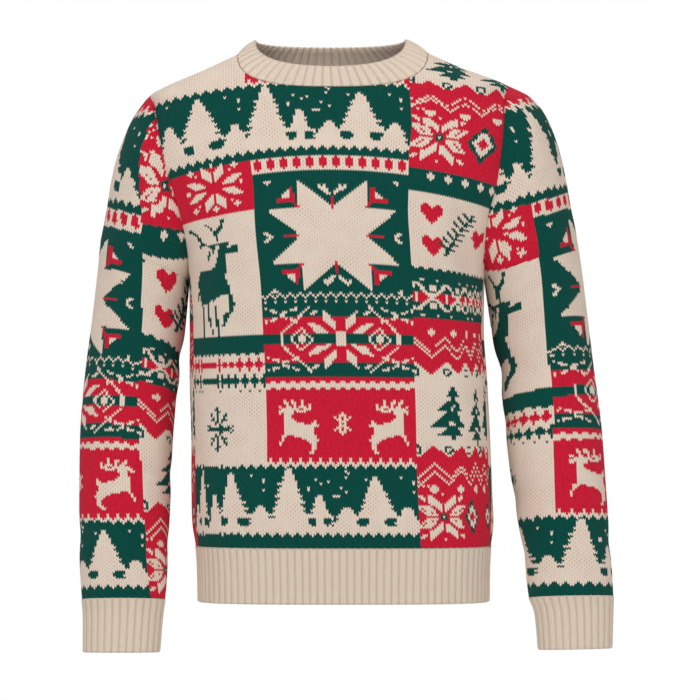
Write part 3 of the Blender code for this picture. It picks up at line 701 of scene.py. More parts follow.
def torso_surface(x, fullness, height, face):
    """The knit's point on the front (face -1) or the back (face 1) at a fullness of its section."""
    reach = read(TORSO, "front" if face < 0 else "back", height)
    folds = FRONT_FOLDS if face < 0 else BACK_FOLDS
    hold = ease(fullness, 0.05, 0.5) * ease(height, HEM_SEAM, HEM_SEAM + FOLDS_FADE)
    y = face * (reach * fullness - fold_depth(folds, x, height) * hold)
    lift = SHOULDER_LIFT * (x / SHOULDER_REACH) ** 3 * ease(height, LIFT_FROM, LIFT_TO)
    return np.stack(np.broadcast_arrays(x, y, height + lift), axis=-1)


def torso_point(height, turn, face):
    """The point at a turn from -1, the left side or armhole seam, by 0, the centre, to 1, the right."""
    power = read(TORSO, "squareness", height)
    full = full_half_width(height)
    share = np.minimum(read(TORSO, "half_width", height) / full, 1)
    angle = np.abs(turn) * np.arctan2(share, (1 - share ** power) ** (1 / power))
    across, fore = np.sin(angle), np.clip(np.cos(angle), 0, 1)
    reach = (across ** power + fore ** power) ** (-1 / power)
    x = read(TORSO, "centre_x", height) + np.sign(turn) * full * reach * across
    return torso_surface(x, reach * fore, height, face)


def torso_at(height, x, face):
    """The point at a height and an X."""
    power = read(TORSO, "squareness", height)
    share = np.clip(np.abs(x - read(TORSO, "centre_x", height)) / full_half_width(height), 0, 1)
    return torso_surface(x, (1 - share ** power) ** (1 / power), height, face)


TURNS = np.linspace(0, 1, 161)
LEVELS = (SHOULDER_TIP + UNDERARM) / 2 - (SHOULDER_TIP - UNDERARM) / 2 * np.cos(np.linspace(0, np.pi, 241))
LEVELS = np.concatenate([np.arange(HEM_SEAM, UNDERARM - 1.0, 3.0), LEVELS])
REACHES = np.arange(0, 300.0, 1.5)


def turn_tables(face):
    """For each side, the turn at each level for each length along the knit from the centre line."""
    tables = {}
    for side in (-1, 1):
        runs = run_of(torso_point(LEVELS[:, None], side * TURNS[None, :], face) * (1, 1, 0))
        turns = np.array([np.interp(REACHES, run, TURNS) for run in runs])
        tables[side] = turns, runs[:, -1]
    return tables


def turn_of(tables, height, length):
    """The turn at a height for a length along the knit from the centre line, right of it above 0."""
    row = np.clip(np.searchsorted(LEVELS, height, side="right") - 1, 0, len(LEVELS) - 2)
    up = np.clip((height - LEVELS[row]) / (LEVELS[row + 1] - LEVELS[row]), 0, 1)
    reach = np.clip(np.abs(length) / (REACHES[1] - REACHES[0]), 0, len(REACHES) - 1.001)
    column = reach.astype(int)
    out = reach - column
    turn = np.zeros(np.broadcast(height, length).shape)
    for side in (-1, 1):
        turns, last = tables[side]
        low = turns[row, column] * (1 - out) + turns[row, column + 1] * out
        high = turns[row + 1, column] * (1 - out) + turns[row + 1, column + 1] * out
        found = low * (1 - up) + high * up
        found = np.where(np.abs(length) >= np.interp(height, LEVELS, last), 1.0, found)
        turn = np.where(np.sign(length) == side, side * found, turn)
    return turn


def top_height(x, face):
    """How high the panel reaches at an X: the neckline, or the shoulder seam."""
    side = np.clip(np.abs(x - NECK_CENTRE_X) / NECK_HALF_WIDTH, 0, 1)
    angle = np.arcsin(side ** (NECK_ROUNDNESS / 2))
    neck = NECK_POINT - NECK_DROPS[face] * np.clip(np.cos(angle), 0, 1) ** (2 / NECK_ROUNDNESS)
    levels = np.linspace(NECK_POINT, SHOULDER_TIP, 200)
    seams = [read(TORSO, "centre_x", levels) + s * read(TORSO, "half_width", levels) for s in (-1, 1)]
    left, right = np.interp(-x, -seams[0], levels), np.interp(x, seams[1], levels)
    return np.where(side < 1, neck, np.where(x < NECK_CENTRE_X, left, right))


def panel_grid(face, wales, courses):
    """A panel's points, one row for each course line and two columns for each wale.

    Also gives which points are beyond the panel's edges, where they lie on the edge instead."""
    steps = (np.arange(2 * wales + 1)[None] - wales) / 2
    tables = turn_tables(face)
    base = HEM_SEAM + np.arange(courses + 1) * COURSE
    bend = int((CREST_FROM - HEM_SEAM) / COURSE)
    low = np.minimum(base[:bend + 1], CREST_FROM)[:, None]
    lengths = steps * read(KNIT, "wale", low) + read(KNIT, "drift", low)
    x = torso_point(low, turn_of(tables, low, lengths), face)[..., 0]
    height = np.maximum(low - read(KNIT, "sag", low) * (x / SAG_REACH) ** 2, HEM_SEAM)
    turn = turn_of(tables, height, lengths)
    body = torso_point(height, turn, face)
    lengths = lengths[-1]
    tip_turn = turn_of(tables, np.full(len(lengths), SHOULDER_TIP), lengths)
    tip_x = torso_point(np.full(len(lengths), SHOULDER_TIP), tip_turn, face)[:, 0]
    top = top_height(tip_x, face)
    climb = 1 - (1 - np.linspace(0, 1, CREST_STEPS)) ** 3
    levels = height[-1] + (top - height[-1]) * climb[:, None]
    under = turn_of(tables, np.minimum(levels, SHOULDER_TIP), lengths[None])
    rising = torso_point(np.minimum(levels, SHOULDER_TIP), under, face)
    over = torso_at(levels, tip_x[None], face)
    rising = np.where((levels > SHOULDER_TIP)[..., None], over, rising)
    rows = np.arange(courses - bend) * COURSE + COURSE
    crest = np.empty((len(rows), len(lengths), 3))
    beyond = np.zeros((courses + 1, len(lengths)), bool)
    beyond[:bend + 1] = np.abs(turn) >= 1
    for column in range(len(lengths)):
        run = run_of(rising[:, column])
        for axis in range(3):
            crest[:, column, axis] = np.interp(rows, run, rising[:, column, axis])
        at = np.interp(rows, run, np.abs(under[:, column]) >= 1)
        beyond[bend + 1:, column] = (rows >= run[-1]) | ((at >= 1) & (crest[:, column, 2] < SHOULDER_TIP))
    return np.concatenate([body, crest]), beyond


def quads(grid):
    """The four corners of each square between the rows and columns of a grid."""
    return np.stack([grid[:-1, :-1], grid[:-1, 1:], grid[1:, 1:], grid[1:, :-1]], axis=2)


def knit_mesh(name, points, faces, places, tint, yarn):
    """A piece of knit, with the place in wales and courses and the dye of each corner of its faces."""
    mesh = bpy.data.meshes.new(name)
    mesh.from_pydata((points.reshape(-1, 3) * MM).tolist(), [], faces)
    mesh.uv_layers.new(name="stitches").data.foreach_set("uv", places.astype(np.float32).ravel())
    dye = mesh.color_attributes.new("yarn", "FLOAT_COLOR", "CORNER")
    dye.data.foreach_set("color", tint.astype(np.float32).ravel())
    mesh.shade_smooth()
    mesh.materials.append(yarn)
    piece = bpy.data.objects.new(name, mesh)
    bpy.context.collection.objects.link(piece)
    return piece


def knit_cloth(name, points, beyond, chart):
    """A knitted piece with two faces to a stitch, which hang to the V's point, in the chart's yarns."""
    lower = np.concatenate([points[:1], points[:-1]])
    lower_beyond = np.concatenate([beyond[:1], beyond[:-1]])
    points, beyond = points.copy(), beyond.copy()
    points[:, 1::2] = (1 - DIP) * points[:, 1::2] + DIP * lower[:, 1::2]
    beyond[:, 1::2] &= lower_beyond[:, 1::2]
    along_course = np.gradient(points, axis=1)
    along_wale = np.gradient(points, axis=0)
    normals = unit(np.cross(along_course, along_wale))
    points[:, 1::2] += STITCH_RISE * normals[:, 1::2]
    rows, columns = points.shape[:2]
    ids = np.arange(rows * columns).reshape(rows, columns)
    row, column = np.nonzero(~quads(beyond).all(axis=2))
    faces = quads(ids)[row, column]
    places = np.stack(np.meshgrid(np.arange(columns) / 2, np.arange(rows)), axis=-1).reshape(-1, 2)
    yarn = chart[row, column // 2]
    floats = (column // 2 + row // FLOAT_COURSES) % 3 > 1
    tint = np.stack([yarn == red, yarn == green, floats, yarn >= cream], axis=1)
    piece = knit_mesh(name, points, faces.tolist(), places[faces], np.repeat(tint, 4, axis=0), JACQUARD)
    bpy.context.view_layer.objects.active = piece
    piece.select_set(True)
    bpy.ops.object.mode_set(mode="EDIT")
    bpy.ops.mesh.select_all(action="SELECT")
    bpy.ops.mesh.remove_doubles(threshold=0.000002)
    bpy.ops.mesh.dissolve_degenerate(threshold=0.000001)
    bpy.ops.mesh.delete_loose()
    bpy.ops.object.mode_set(mode="OBJECT")
    piece.select_set(False)
    return piece


FRONT_WALES, FRONT_COURSES = 172, 268
rows, columns = np.mgrid[0:FRONT_COURSES, 0:FRONT_WALES] + 0.5
drawn_in = 0.033 * (1 - ease(rows, 100, 180))
across = columns + drawn_in * (np.maximum(columns - 128, 0) ** 2 - np.maximum(46 - columns, 0) ** 2)
up = rows + 0.25 * np.maximum(rows - 205, 0) * ease(columns, 112, 122)
front_chart = cut(up, across)
front_points, front_beyond = panel_grid(-1, FRONT_WALES, FRONT_COURSES)
front = knit_cloth("front_knit", front_points, front_beyond, front_chart)
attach(front, "root")
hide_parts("front")


# Back panel. The same stranded knit and cut as the front, with a shallower neckline. It is linked to
# the front at the shoulders and down the sides.

back_points, back_beyond = panel_grid(1, FRONT_WALES, FRONT_COURSES)
back = knit_cloth("back_knit", back_points[:, ::-1], back_beyond[:, ::-1], front_chart)
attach(back, "root")
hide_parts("back")


# Sleeves. Each is one tube with a set-in cap, sewn round the armhole and closed along the underarm.
# Its wales run up the arm from the outer line, and are lost at the underarm seam as it narrows.

ARMHOLE_STEPS, CAP_STEPS, LINE_STEPS, HALF_ROUND = 10, 8, 900, 100
SEAM_HOLD, HOLD_REACH = 0.8, 60.0
SLEEVE_WALE, SLEEVE_WALES, SLEEVE_COURSES = 3.16, 126, 267
CAP_SIZES = "step outer_height outer_x half_depth"
TUBE_SIZES = "inner_height inner_x outer_height outer_x centre_y half_depth front_lift"
LEFT_CAP = table(
    CAP_SIZES,
    (8, -52, -229, 45),
    (7, -70, -242, 58),
    (6, -96, -254.5, 66),
    (5, -126, -265, 69),
    (4, -156, -271.5, 68),
    (3, -185, -276, 66),
    (2, -206, -280, 64.5),
    (1, -221, -283, 63),
)
RIGHT_CAP = table(
    CAP_SIZES,
    (8, -46, 252, 45),
    (7, -64, 268.5, 58),
    (6, -92, 282, 66),
    (5, -123, 291.5, 69),
    (4, -154, 298, 68),
    (3, -185, 303.5, 66),
    (2, -206, 308, 64.5),
    (1, -221, 310.5, 63),
)
LEFT_TUBE = table(
    TUBE_SIZES,
    (-275, -173.2, -230, -284.5, 0, 62.0, 0.04),
    (-300, -175.0, -262, -287.5, 1, 61.0, 0.10),
    (-350, -180.0, -327, -295.0, 3, 57.0, 0.20),
    (-400, -185.6, -387, -303.0, 3, 52.5, 0.20),
    (-462, -193.0, -458, -309.0, -4, 48.5, 0.12),
    (-537, -196.0, -537, -310.0, -14, 44.5, 0.06),
    (-612, -199.0, -612, -309.4, -25, 39.5, 0.06),
    (-650, -200.5, -650, -307.5, -32, 36.5, 0.08),
    (-672, -202.5, -672, -305.6, -36, 33.5, 0.10),
)
RIGHT_TUBE = table(
    TUBE_SIZES,
    (-275, 195.2, -230, 312.0, 0, 62.0, 0.04),
    (-300, 198.7, -262, 317.0, 1, 61.0, 0.10),
    (-350, 206.2, -327, 325.0, 3, 57.0, 0.20),
    (-400, 215.0, -387, 332.5, 3, 52.5, 0.20),
    (-462, 221.5, -458, 341.5, -4, 48.5, 0.12),
    (-537, 230.5, -537, 346.9, -14, 44.5, 0.06),
    (-612, 243.0, -612, 352.0, -25, 39.5, 0.06),
    (-650, 247.5, -650, 354.0, -32, 36.5, 0.08),
    (-670, 250.0, -668, 354.8, -36, 33.5, 0.10),
)
LEFT_FOLDS = table(
    "angle start_height end_height spread half_width depth",
    (55, -212, -262, 45, 17, 4.5),
    (300, -222, -268, 45, 17, 4.5),
    (30, -300, -322, 60, 17, 2.5),
    (20, -372, -366, 70, 15, 3.5),
    (35, -425, -412, 60, 16, 2.5),
    (310, -395, -382, 60, 16, 3.0),
    (25, -520, -512, 60, 15, 2.5),
    (200, -590, -598, 70, 17, 2.0),
    (330, -612, -600, 60, 15, 2.0),
)
RIGHT_FOLDS = table(
    "angle start_height end_height spread half_width depth",
    (62, -202, -250, 45, 17, 5.5),
    (300, -218, -266, 45, 17, 4.5),
    (28, -315, -330, 60, 17, 3.0),
    (20, -388, -378, 70, 16, 3.5),
    (315, -410, -398, 60, 17, 3.0),
    (30, -455, -448, 60, 16, 2.5),
    (24, -548, -538, 60, 15, 2.5),
    (195, -600, -606, 70, 17, 2.0),
    (335, -625, -612, 60, 15, 2.0),
)


def armhole_point(step, side, face):
    """The armhole seam's point at a step from 0, the underarm, to 10, the shoulder tip."""
    middle, half = (SHOULDER_TIP + UNDERARM) / 2, (SHOULDER_TIP - UNDERARM) / 2
    height = middle - half * np.cos(np.pi * step / ARMHOLE_STEPS)
    return torso_point(height, np.full_like(height, side), face)


def angle_fold(folds, angles, height):
    """How deep the folds of a sleeve push its knit in."""
    turn = np.degrees(angles)
    depth = np.zeros(np.broadcast(turn, height).shape)
    for angle, start, end, spread, half_width, most in zip(*folds.values()):
        off = (turn - angle + 180) % 360 - 180
        line = start + (end - start) * (off / spread + 1) / 2
        away = (height - line) / half_width
        depth += most * np.exp(-(away ** 2)) * np.exp(-((off / spread) ** 2) * 1.5)
    return depth


def sleeve_ends(places, side, cap, tube):
    """The inner and outer ends, the reach forward and the start angle of the rows at the places.

    A place is minus the armhole step in the cap, and counts the rows of the tube below it."""
    joined = {"place": np.concatenate([-cap["step"], np.arange(len(tube["outer_x"]))])}
    for column in ("outer_height", "outer_x", "half_depth"):
        joined[column] = np.concatenate([cap[column], tube[column]])
    below = dict(tube, place=np.arange(len(tube["outer_x"]), dtype=float))
    step = np.maximum(-places, 0.0)
    fore, aft = armhole_point(step, side, -1), armhole_point(step, side, 1)
    half_depth = read(joined, "half_depth", places, along="place")
    chord = fore - aft
    start = np.arcsin(np.minimum(np.linalg.norm(chord, axis=-1) / 2 / half_depth, 0.99))
    start = np.where(places < 0, start, 0.0)
    lift = read(below, "front_lift", np.maximum(places, 0), along="place") * np.clip(1 + places, 0, 1)
    seam_way = unit(np.where((places < -0.01)[:, None], chord, np.array([0, -1.0, 0])))
    reach = half_depth[:, None] * (seam_way + lift[:, None] * np.array([0, 0, 1.0]))
    down = np.maximum(places, 0)
    centre_y = read(below, "centre_y", down, along="place")
    inner = np.stack([read(below, "inner_x", down, along="place"), centre_y,
                      read(below, "inner_height", down, along="place")], axis=1)
    inner = np.where((places < 0)[:, None], (fore + aft) / 2, inner)
    outer = np.stack([read(joined, "outer_x", places, along="place"), inner[:, 1],
                      read(joined, "outer_height", places, along="place")], axis=1)
    return inner, outer, reach, start


def sleeve_rows(places, shares, side, cap, tube, folds):
    """Points at shares of the way round the sleeve, from its inner side in front first, at places."""
    inner, outer, reach, start = (part[:, None] for part in sleeve_ends(places, side, cap, tube))
    angles = start + (2 * np.pi - 2 * start) * shares
    out = ((np.cos(start) - np.cos(angles)) / (1 + np.cos(start)))[..., None]
    rows = inner + (outer - inner) * out + reach * np.sin(angles)[..., None]
    fade = np.where(places < 0, 1.0, ease(inner[:, 0, 2], UNDERARM - HOLD_REACH, UNDERARM))
    pushed = angle_fold(folds, angles, rows[..., 2])
    pushed *= np.clip(np.sin((angles - start) / 2), 0, 1) ** (SEAM_HOLD * fade[:, None])
    return rows + unit(((inner + outer) / 2 - rows) * (1, 1, 0)) * pushed[..., None]


def sleeve_surface(places, shares, side, cap, tube, folds):
    """The same with the cap's top, where the rows close in on the armhole over the shoulder tip."""
    rows = sleeve_rows(np.maximum(places, -CAP_STEPS), shares, side, cap, tube, folds)
    lower = sleeve_rows(np.full(1, 1.0 - CAP_STEPS), shares, side, cap, tube, folds)[0]
    last = sleeve_rows(np.full(1, -float(CAP_STEPS)), shares, side, cap, tube, folds)[0]
    steps = CAP_STEPS + 2 * (ARMHOLE_STEPS - CAP_STEPS) * shares
    over = np.where((steps <= ARMHOLE_STEPS)[:, None], armhole_point(steps, side, -1),
                    armhole_point(2 * ARMHOLE_STEPS - steps, side, 1))
    taper = (np.clip(4 * shares * (1 - shares), 0, 1) ** 0.5)[:, None]
    s = np.clip(-places - CAP_STEPS, 0, 1)[:, None, None]
    top = (1 + 2 * s) * (1 - s) ** 2 * last + s ** 2 * (3 - 2 * s) * over
    top += s * (1 - s) ** 2 * (over - lower) / 2 * taper - s ** 2 * (1 - s) * (over - last) * taper
    return np.where((places < -CAP_STEPS)[:, None, None], top, rows)


def sleeve_grid(side, cap, tube, folds):
    """A sleeve's points for knit_cloth, from the cuff up, and which are beyond its seams."""
    last = len(tube["outer_x"]) - 1
    places = np.linspace(last, -CAP_STEPS - 1, LINE_STEPS)
    outer_line = sleeve_surface(places, np.array([0.5]), side, cap, tube, folds)[:, 0]
    run = run_of(outer_line)
    courses = np.minimum(np.arange(SLEEVE_COURSES + 1) * COURSE, run[-1])
    course_places = np.interp(courses, run, places)
    around = np.linspace(0, 1, 2 * HALF_ROUND + 1)
    surface = sleeve_surface(course_places, around, side, cap, tube, folds)
    arcs = run_of(surface)
    arcs = arcs - arcs[:, [HALF_ROUND]]
    lengths = side * (np.arange(2 * SLEEVE_WALES + 1) - SLEEVE_WALES) * SLEEVE_WALE / 2
    points = np.empty((len(courses), len(lengths), 3))
    for row in range(len(courses)):
        for axis in range(3):
            points[row, :, axis] = np.interp(lengths, arcs[row], surface[row, :, axis])
    beyond = (lengths[None] <= arcs[:, :1]) | (lengths[None] >= arcs[:, -1:])
    return points, beyond | (np.arange(SLEEVE_COURSES + 1) * COURSE > run[-1])[:, None]


# Which course and wale of the cloth lie on the outer line, how many wales pass for each of the
# sleeve's, and how many courses more lie TILT_REACH wales in from that line.
TILT_REACH = 40
LEFT_CUT = table(
    "sleeve_course course wale spacing tilt",
    (0, 1.2, 83.5, 0.99, 0),
    (40, 41.5, 83.7, 0.98, 0.5),
    (60, 62.6, 84.6, 0.96, 1.0),
    (80, 83.7, 85.2, 0.96, 2.2),
    (96, 100.4, 86.0, 0.96, 1.5),
    (120, 125.3, 86.0, 0.95, 3.0),
    (148, 152.0, 88.0, 0.92, 1.0),
    (167, 168.3, 89.0, 0.89, -2.8),
    (179, 178.2, 89.6, 0.87, -4.5),
    (192, 188.6, 91.9, 0.87, -5.2),
    (206, 201.0, 93.2, 0.88, -5.0),
    (225, 215.0, 94.5, 0.95, -10.0),
    (244, 230.0, 95.0, 1.0, -20.0),
    (267, 246.0, 96.0, 1.0, -28.0),
)
RIGHT_CUT = table(
    "sleeve_course course wale spacing tilt",
    (0, 1.2, 80.5, 0.86, 0),
    (40, 41.2, 80.0, 0.86, 0.3),
    (66, 65.6, 79.0, 0.83, 0.6),
    (80, 80.6, 79.0, 0.83, 1.0),
    (100, 101.0, 78.0, 0.83, 2.0),
    (119, 120.6, 79.2, 0.83, 2.0),
    (140, 140.5, 80.0, 0.86, 1.0),
    (153, 152.3, 80.2, 0.87, -1.0),
    (173, 167.0, 81.5, 0.90, -3.0),
    (190, 180.8, 82.0, 0.94, -3.5),
    (198, 188.4, 82.0, 0.92, -3.0),
    (220, 208.0, 81.0, 0.95, -2.0),
    (242, 224.5, 80.5, 0.98, -3.0),
    (267, 243.0, 80.0, 1.0, -3.0),
)
SLEEVES = (
    ("left", -1, LEFT_CAP, LEFT_TUBE, LEFT_FOLDS, LEFT_CUT),
    ("right", 1, RIGHT_CAP, RIGHT_TUBE, RIGHT_FOLDS, RIGHT_CUT),
)
rows, columns = np.mgrid[0:SLEEVE_COURSES, 0:SLEEVE_WALES] + 0.5
off = columns - SLEEVE_WALES / 2
for name, side, cap, tube, folds, cut_out in SLEEVES:
    points, beyond = sleeve_grid(side, cap, tube, folds)
    course_at, wale_at, spacing, tilt = (
        read(cut_out, column, rows, along="sleeve_course")
        for column in ("course", "wale", "spacing", "tilt")
    )
    chart = cut(course_at + tilt * (off / TILT_REACH) ** 2, wale_at + spacing * off)
    sleeve = knit_cloth("sleeve_knit_" + name, points, beyond, chart)
    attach(sleeve, "root")
    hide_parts("sleeve_" + name)


# Ribs of hem, cuffs and collar. Cream two-by-one rib: two raised knit wales and one that is pulled
# in, as a closed band with a rounded edge.

RIB_HEIGHT, RIB_WALL, RIB_EDGE = 1.0, 3.0, 1.3
RIB_WALES, RIB_DIP, RIB_INSIDE = 3.0, 0.9, 0.9
HEM_RIBS, CUFF_RIBS, COLLAR_RIBS = 55, 27, 60
RIB = table(
    "place rise wale",
    (0.00, 0.10, 2.25),
    (0.16, 0.62, 0.00),
    (0.34, 1.00, 0.50),
    (0.50, 0.94, 1.00),
    (0.66, 1.00, 1.50),
    (0.84, 0.62, 2.00),
)
# The rib's grooves get a lighter painted shade than the jacquard's.
RIB_YARN = yarn_material("rib_yarn", (RIB_CREAM, GREEN, RED), 0.0005, 0.12, 0.08, 0.0)


def rib_stops(ribs, closed):
    """Where the columns of a ribbed band are, in ribs."""
    stops = (np.arange(ribs)[:, None] + RIB["place"]).ravel()
    return stops if closed else np.append(stops, ribs)


def spread(line, stops, count):
    """Points at the stops along a line that holds so many ribs."""
    run = run_of(line)
    at = stops / count * run[-1]
    return np.stack([np.interp(at, run, line[:, axis]) for axis in range(3)], axis=1)


def rib_band(name, rows, closed, lip_first, lip_last):
    """A band from its rows of plain outer points, bottom row first, left to right from outside."""
    rows = np.asarray(rows)
    if closed:
        wrapped = np.concatenate([rows[:, -1:], rows, rows[:, :1]], axis=1)
        along_course = np.gradient(wrapped, axis=1)[:, 1:-1]
    else:
        along_course = np.gradient(rows, axis=1)
    normals = unit(np.cross(along_course, np.gradient(rows, axis=0)))
    count = rows.shape[1]
    rise = np.resize(RIB["rise"], count)[None, :, None].repeat(len(rows), axis=0)
    wale = np.resize(RIB["wale"], count) + RIB_WALES * (np.arange(count) // len(RIB["place"]))
    dip = np.resize([0, 0, 1.0, 0, 1.0, 0], count)[None, :, None] * RIB_DIP
    if not closed:
        rise[:, [0, -1]] = 0.0
        dip[:, [0, -1]] = 0.0
    lower = np.concatenate([rows[:1], rows[:-1]])
    outer = rows * (1 - dip) + lower * dip + normals * rise * RIB_HEIGHT
    picks = np.unique(np.append(np.arange(0, len(rows), 3), len(rows) - 1))
    inner_rise = 1 - np.resize(RIB["rise"], count)[None, :, None]
    inner = (rows - normals * (RIB_WALL - RIB_INSIDE * inner_rise * RIB_HEIGHT))[picks]
    if not closed:
        inner[:, [0, -1]] = (rows - normals * RIB_WALL)[picks][:, [0, -1]]
    layers = [outer]
    courses = list(np.arange(len(rows), dtype=float))
    for lip, row, beside in ((lip_last, -1, -2), (lip_first, 0, 1)):
        if row == 0:
            layers.append(inner[::-1])
            courses += list(courses[-1] + 1 + (len(rows) - 1 - picks[::-1]))
        if lip:
            outwards = unit(rows[row] - rows[beside])
            middle = (outer[row] + inner[row]) / 2 + outwards * RIB_EDGE
            layers.append(middle[None])
            courses.append(courses[-1] + 1)
    points = np.concatenate(layers)
    ids = np.arange(len(points) * count).reshape(len(points), count)
    ids = np.concatenate([ids, ids[:1]])
    courses.append(courses[-1] + 1)
    if closed:
        ids = np.concatenate([ids, ids[:, :1]], axis=1)
        wale = np.append(wale, wale[-1] + 0.5)
    faces = quads(ids).reshape(-1, 4).tolist()
    places = quads(np.stack(np.meshgrid(wale, courses), axis=-1)).reshape(-1, 2)
    ends = [] if closed else [ids[:-1, 0].tolist(), ids[:-1, -1][::-1].tolist()]
    places = np.concatenate([places, np.zeros((sum(map(len, ends)), 2))])
    undyed = np.tile([0.0, 0.0, 0.0, 1.0], (len(places), 1))
    return knit_mesh(name, points, faces + ends, places, undyed, RIB_YARN)


SEAM_GAP, CUFF_COURSES = 0.3, 30
for name, face in (("front", -1), ("back", 1)):
    heights = np.arange(HEM_EDGE + RIB_EDGE, HEM_SEAM - SEAM_GAP + 0.5, COURSE)
    heights[-1] = HEM_SEAM - SEAM_GAP
    turns = np.linspace(-1, 1, 401)
    rows = []
    for height in heights:
        line = torso_point(np.full_like(turns, height), turns, face)
        line[[0, -1], 1] += face * SEAM_GAP / 2
        rows.append(spread(line if face < 0 else line[::-1], rib_stops(HEM_RIBS, False), HEM_RIBS))
    rib = rib_band("hem_rib_knit_" + name, rows, False, True, False)
    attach(rib, "root")
    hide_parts("hem_rib_" + name)

LEFT_CUFF = table(
    TUBE_SIZES,
    (-672, -202.5, -672, -305.6, -36, 33.5, 0.10),
    (-694, -205.5, -694, -303.8, -40, 31.0, 0.08),
    (-738, -209.0, -738, -303.6, -46, 30.0, 0.04),
)
RIGHT_CUFF = table(
    TUBE_SIZES,
    (-670, 250.0, -668, 354.8, -36, 33.5, 0.10),
    (-691, 257.5, -689, 354.0, -40, 31.0, 0.08),
    (-735, 261.5, -733, 352.5, -46, 30.0, 0.04),
)
for name, side, cuff in (("left", -1, LEFT_CUFF), ("right", 1, RIGHT_CUFF)):
    placed = dict(cuff, place=np.arange(3.0))
    rows = []
    for place in np.linspace(2.0, 0.0, CUFF_COURSES):
        size = {column: float(read(placed, column, place, along="place")) for column in cuff}
        angles = side * np.linspace(0, 2 * np.pi, 241)[:, None]
        inner = np.array([size["inner_x"], size["centre_y"], size["inner_height"]])
        outer = np.array([size["outer_x"], size["centre_y"], size["outer_height"]])
        reach = size["half_depth"] * np.array([0, -1, size["front_lift"]])
        ring = (inner + outer) / 2 - (outer - inner) / 2 * np.cos(angles) + reach * np.sin(angles)
        rows.append(spread(ring, rib_stops(CUFF_RIBS, True), CUFF_RIBS))
    rows[-1] = rows[-1] - (0, 0, SEAM_GAP)
    rows[0] = rows[0] + (0, 0, RIB_EDGE)
    rib = rib_band("cuff_knit_" + name, rows, True, True, False)
    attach(rib, "root")
    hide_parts("cuff_" + name)


# Collar. A band of the same rib, linked on round the neckline. It leans in and bulges a little, and
# is lower in front than behind.

COLLAR_HALF_WIDTH, COLLAR_CENTRE_X, COLLAR_ROUNDNESS = 93.0, 3.0, 2.4
COLLAR_SIDE_TOP = 25.5
COLLAR_DROPS, COLLAR_REACHES = {-1: 35.0, 1: 6.0}, {-1: 62.0, 1: 57.0}
COLLAR_BULGE, COLLAR_GAP, COLLAR_COURSES, COLLAR_LIP = 2.0, 0.6, 13, 0.96
quarter = np.linspace(-np.pi / 2, np.pi / 2, 241)


def rounded(angles, roundness):
    """How far along and across a rounded outline an angle is."""
    side = np.sign(angles) * np.abs(np.sin(angles)) ** (2 / roundness)
    return side, np.clip(np.cos(angles), 0, 1) ** (2 / roundness)


def neckline(face):
    """The neckline in front or behind, from left to right."""
    side, down = rounded(quarter, NECK_ROUNDNESS)
    x, height = NECK_CENTRE_X + NECK_HALF_WIDTH * side, NECK_POINT - NECK_DROPS[face] * down
    return torso_at(height, x, face)


def collar_edge(face):
    """The collar's top edge in front or behind, from left to right."""
    side, far = rounded(quarter, COLLAR_ROUNDNESS)
    x = COLLAR_CENTRE_X + COLLAR_HALF_WIDTH * side
    lift = SHOULDER_LIFT * (x / SHOULDER_REACH) ** 3
    height = COLLAR_SIDE_TOP - COLLAR_DROPS[face] * far + lift
    return np.stack([x, face * COLLAR_REACHES[face] * far, height], axis=1)


def round_loop(halves, ribs):
    """A loop from its front and back halves, with the same ribs on each."""
    stops = rib_stops(ribs // 2, True)
    return np.concatenate([spread(halves[0], stops, ribs // 2), spread(halves[1][::-1], stops, ribs // 2)])


base = round_loop((neckline(-1), neckline(1)), COLLAR_RIBS)
edge = round_loop((collar_edge(-1), collar_edge(1)), COLLAR_RIBS)
base = base + unit(edge - base) * COLLAR_GAP
along = np.roll(base, -1, axis=0) - np.roll(base, 1, axis=0)
outwards = unit(np.cross(along, edge - base))
rows = []
for share in np.linspace(0, COLLAR_LIP, COLLAR_COURSES):
    rows.append(base + (edge - base) * share + outwards * COLLAR_BULGE * 4 * share * (1 - share))
collar = rib_band("collar_knit", rows, True, False, True)
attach(collar, "root")
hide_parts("collar")


# Studio. A pale floor, a white surround and soft light, mostly from the front, and a camera level
# with the middle of the sweater.

CENTRE_X, CENTRE_HEIGHT, VIEW_DISTANCE, VIEW_SIZE = 0.0275, -0.3625, 7.0, 0.875
SENSOR = 36.0
camera_data = bpy.data.cameras.new("camera")
camera_data.sensor_width = SENSOR
camera_data.lens = SENSOR * VIEW_DISTANCE / VIEW_SIZE
camera = bpy.data.objects.new("camera", camera_data)
camera.location = (CENTRE_X, -VIEW_DISTANCE, CENTRE_HEIGHT)
camera.rotation_euler = (np.pi / 2, 0, 0)
bpy.context.collection.objects.link(camera)
bpy.context.scene.camera = camera

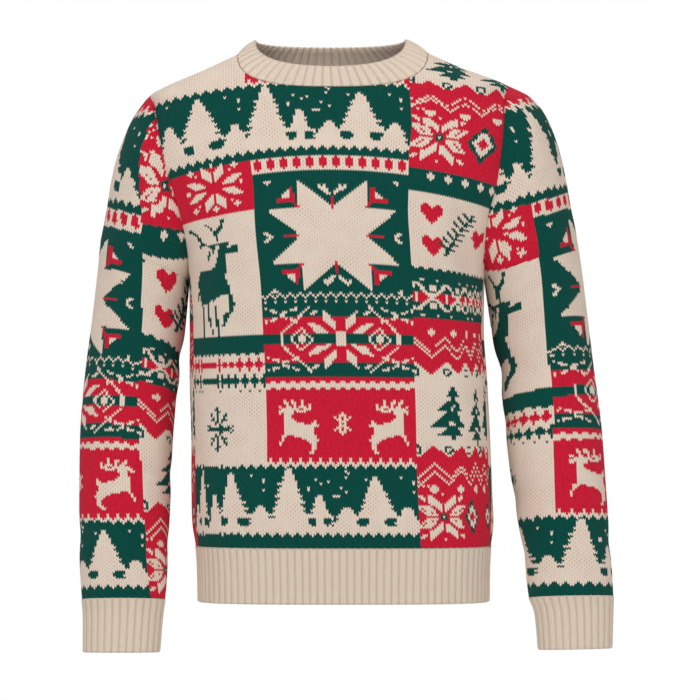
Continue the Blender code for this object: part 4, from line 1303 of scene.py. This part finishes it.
FLOOR_HEIGHT, FLOOR_SIZE, SURROUND_GLOW = -1.6, 24.0, 0.42
bpy.ops.mesh.primitive_plane_add(size=FLOOR_SIZE, location=(0, 0, FLOOR_HEIGHT))
floor = bpy.context.object
floor.name = "floor"
pale = bpy.data.materials.new("pale_floor")
pale.use_nodes = True
pale.node_tree.nodes["Principled BSDF"].inputs["Base Color"].default_value = (0.86, 0.86, 0.86, 1.0)
pale.node_tree.nodes["Principled BSDF"].inputs["Roughness"].default_value = 0.9
floor.data.materials.append(pale)

LIGHTS_AIM = (0.02, 0.0, -0.33)
LIGHTS = (
    # name, place, size, watts
    ("key", (-2.2, -3.2, 1.6), 2.2, 62),
    ("fill", (2.6, -3.0, 0.6), 2.4, 40),
    ("top", (0.0, 0.4, 2.6), 2.5, 26),
    ("rim", (0.0, 3.2, 0.8), 2.4, 26),
)
for name, place, size, watts in LIGHTS:
    light = bpy.data.lights.new(name, "AREA")
    light.size = size
    light.energy = watts
    lamp = bpy.data.objects.new(name, light)
    lamp.location = place
    aim = np.array(LIGHTS_AIM) - place
    lamp.rotation_euler = (
        np.arctan2(np.hypot(aim[0], aim[1]), -aim[2]),
        0,
        np.arctan2(aim[1], aim[0]) - np.pi / 2,
    )
    bpy.context.collection.objects.link(lamp)

world = bpy.data.worlds.new("surround")
bpy.context.scene.world = world
world.use_nodes = True
surround = world.node_tree
surround.nodes["Background"].inputs["Color"].default_value = (1.0, 1.0, 1.0, 1.0)
surround.nodes["Background"].inputs["Strength"].default_value = SURROUND_GLOW
seen = surround.nodes.new("ShaderNodeBackground")
seen.inputs["Color"].default_value = (1.0, 1.0, 1.0, 1.0)
chooser = surround.nodes.new("ShaderNodeMixShader")
rays = surround.nodes.new("ShaderNodeLightPath")
surround.links.new(rays.outputs["Is Camera Ray"], chooser.inputs[0])
surround.links.new(surround.nodes["Background"].outputs[0], chooser.inputs[1])
surround.links.new(seen.outputs[0], chooser.inputs[2])
surround.links.new(chooser.outputs[0], surround.nodes["World Output"].inputs["Surface"])
bpy.context.scene.view_settings.view_transform = "Standard"
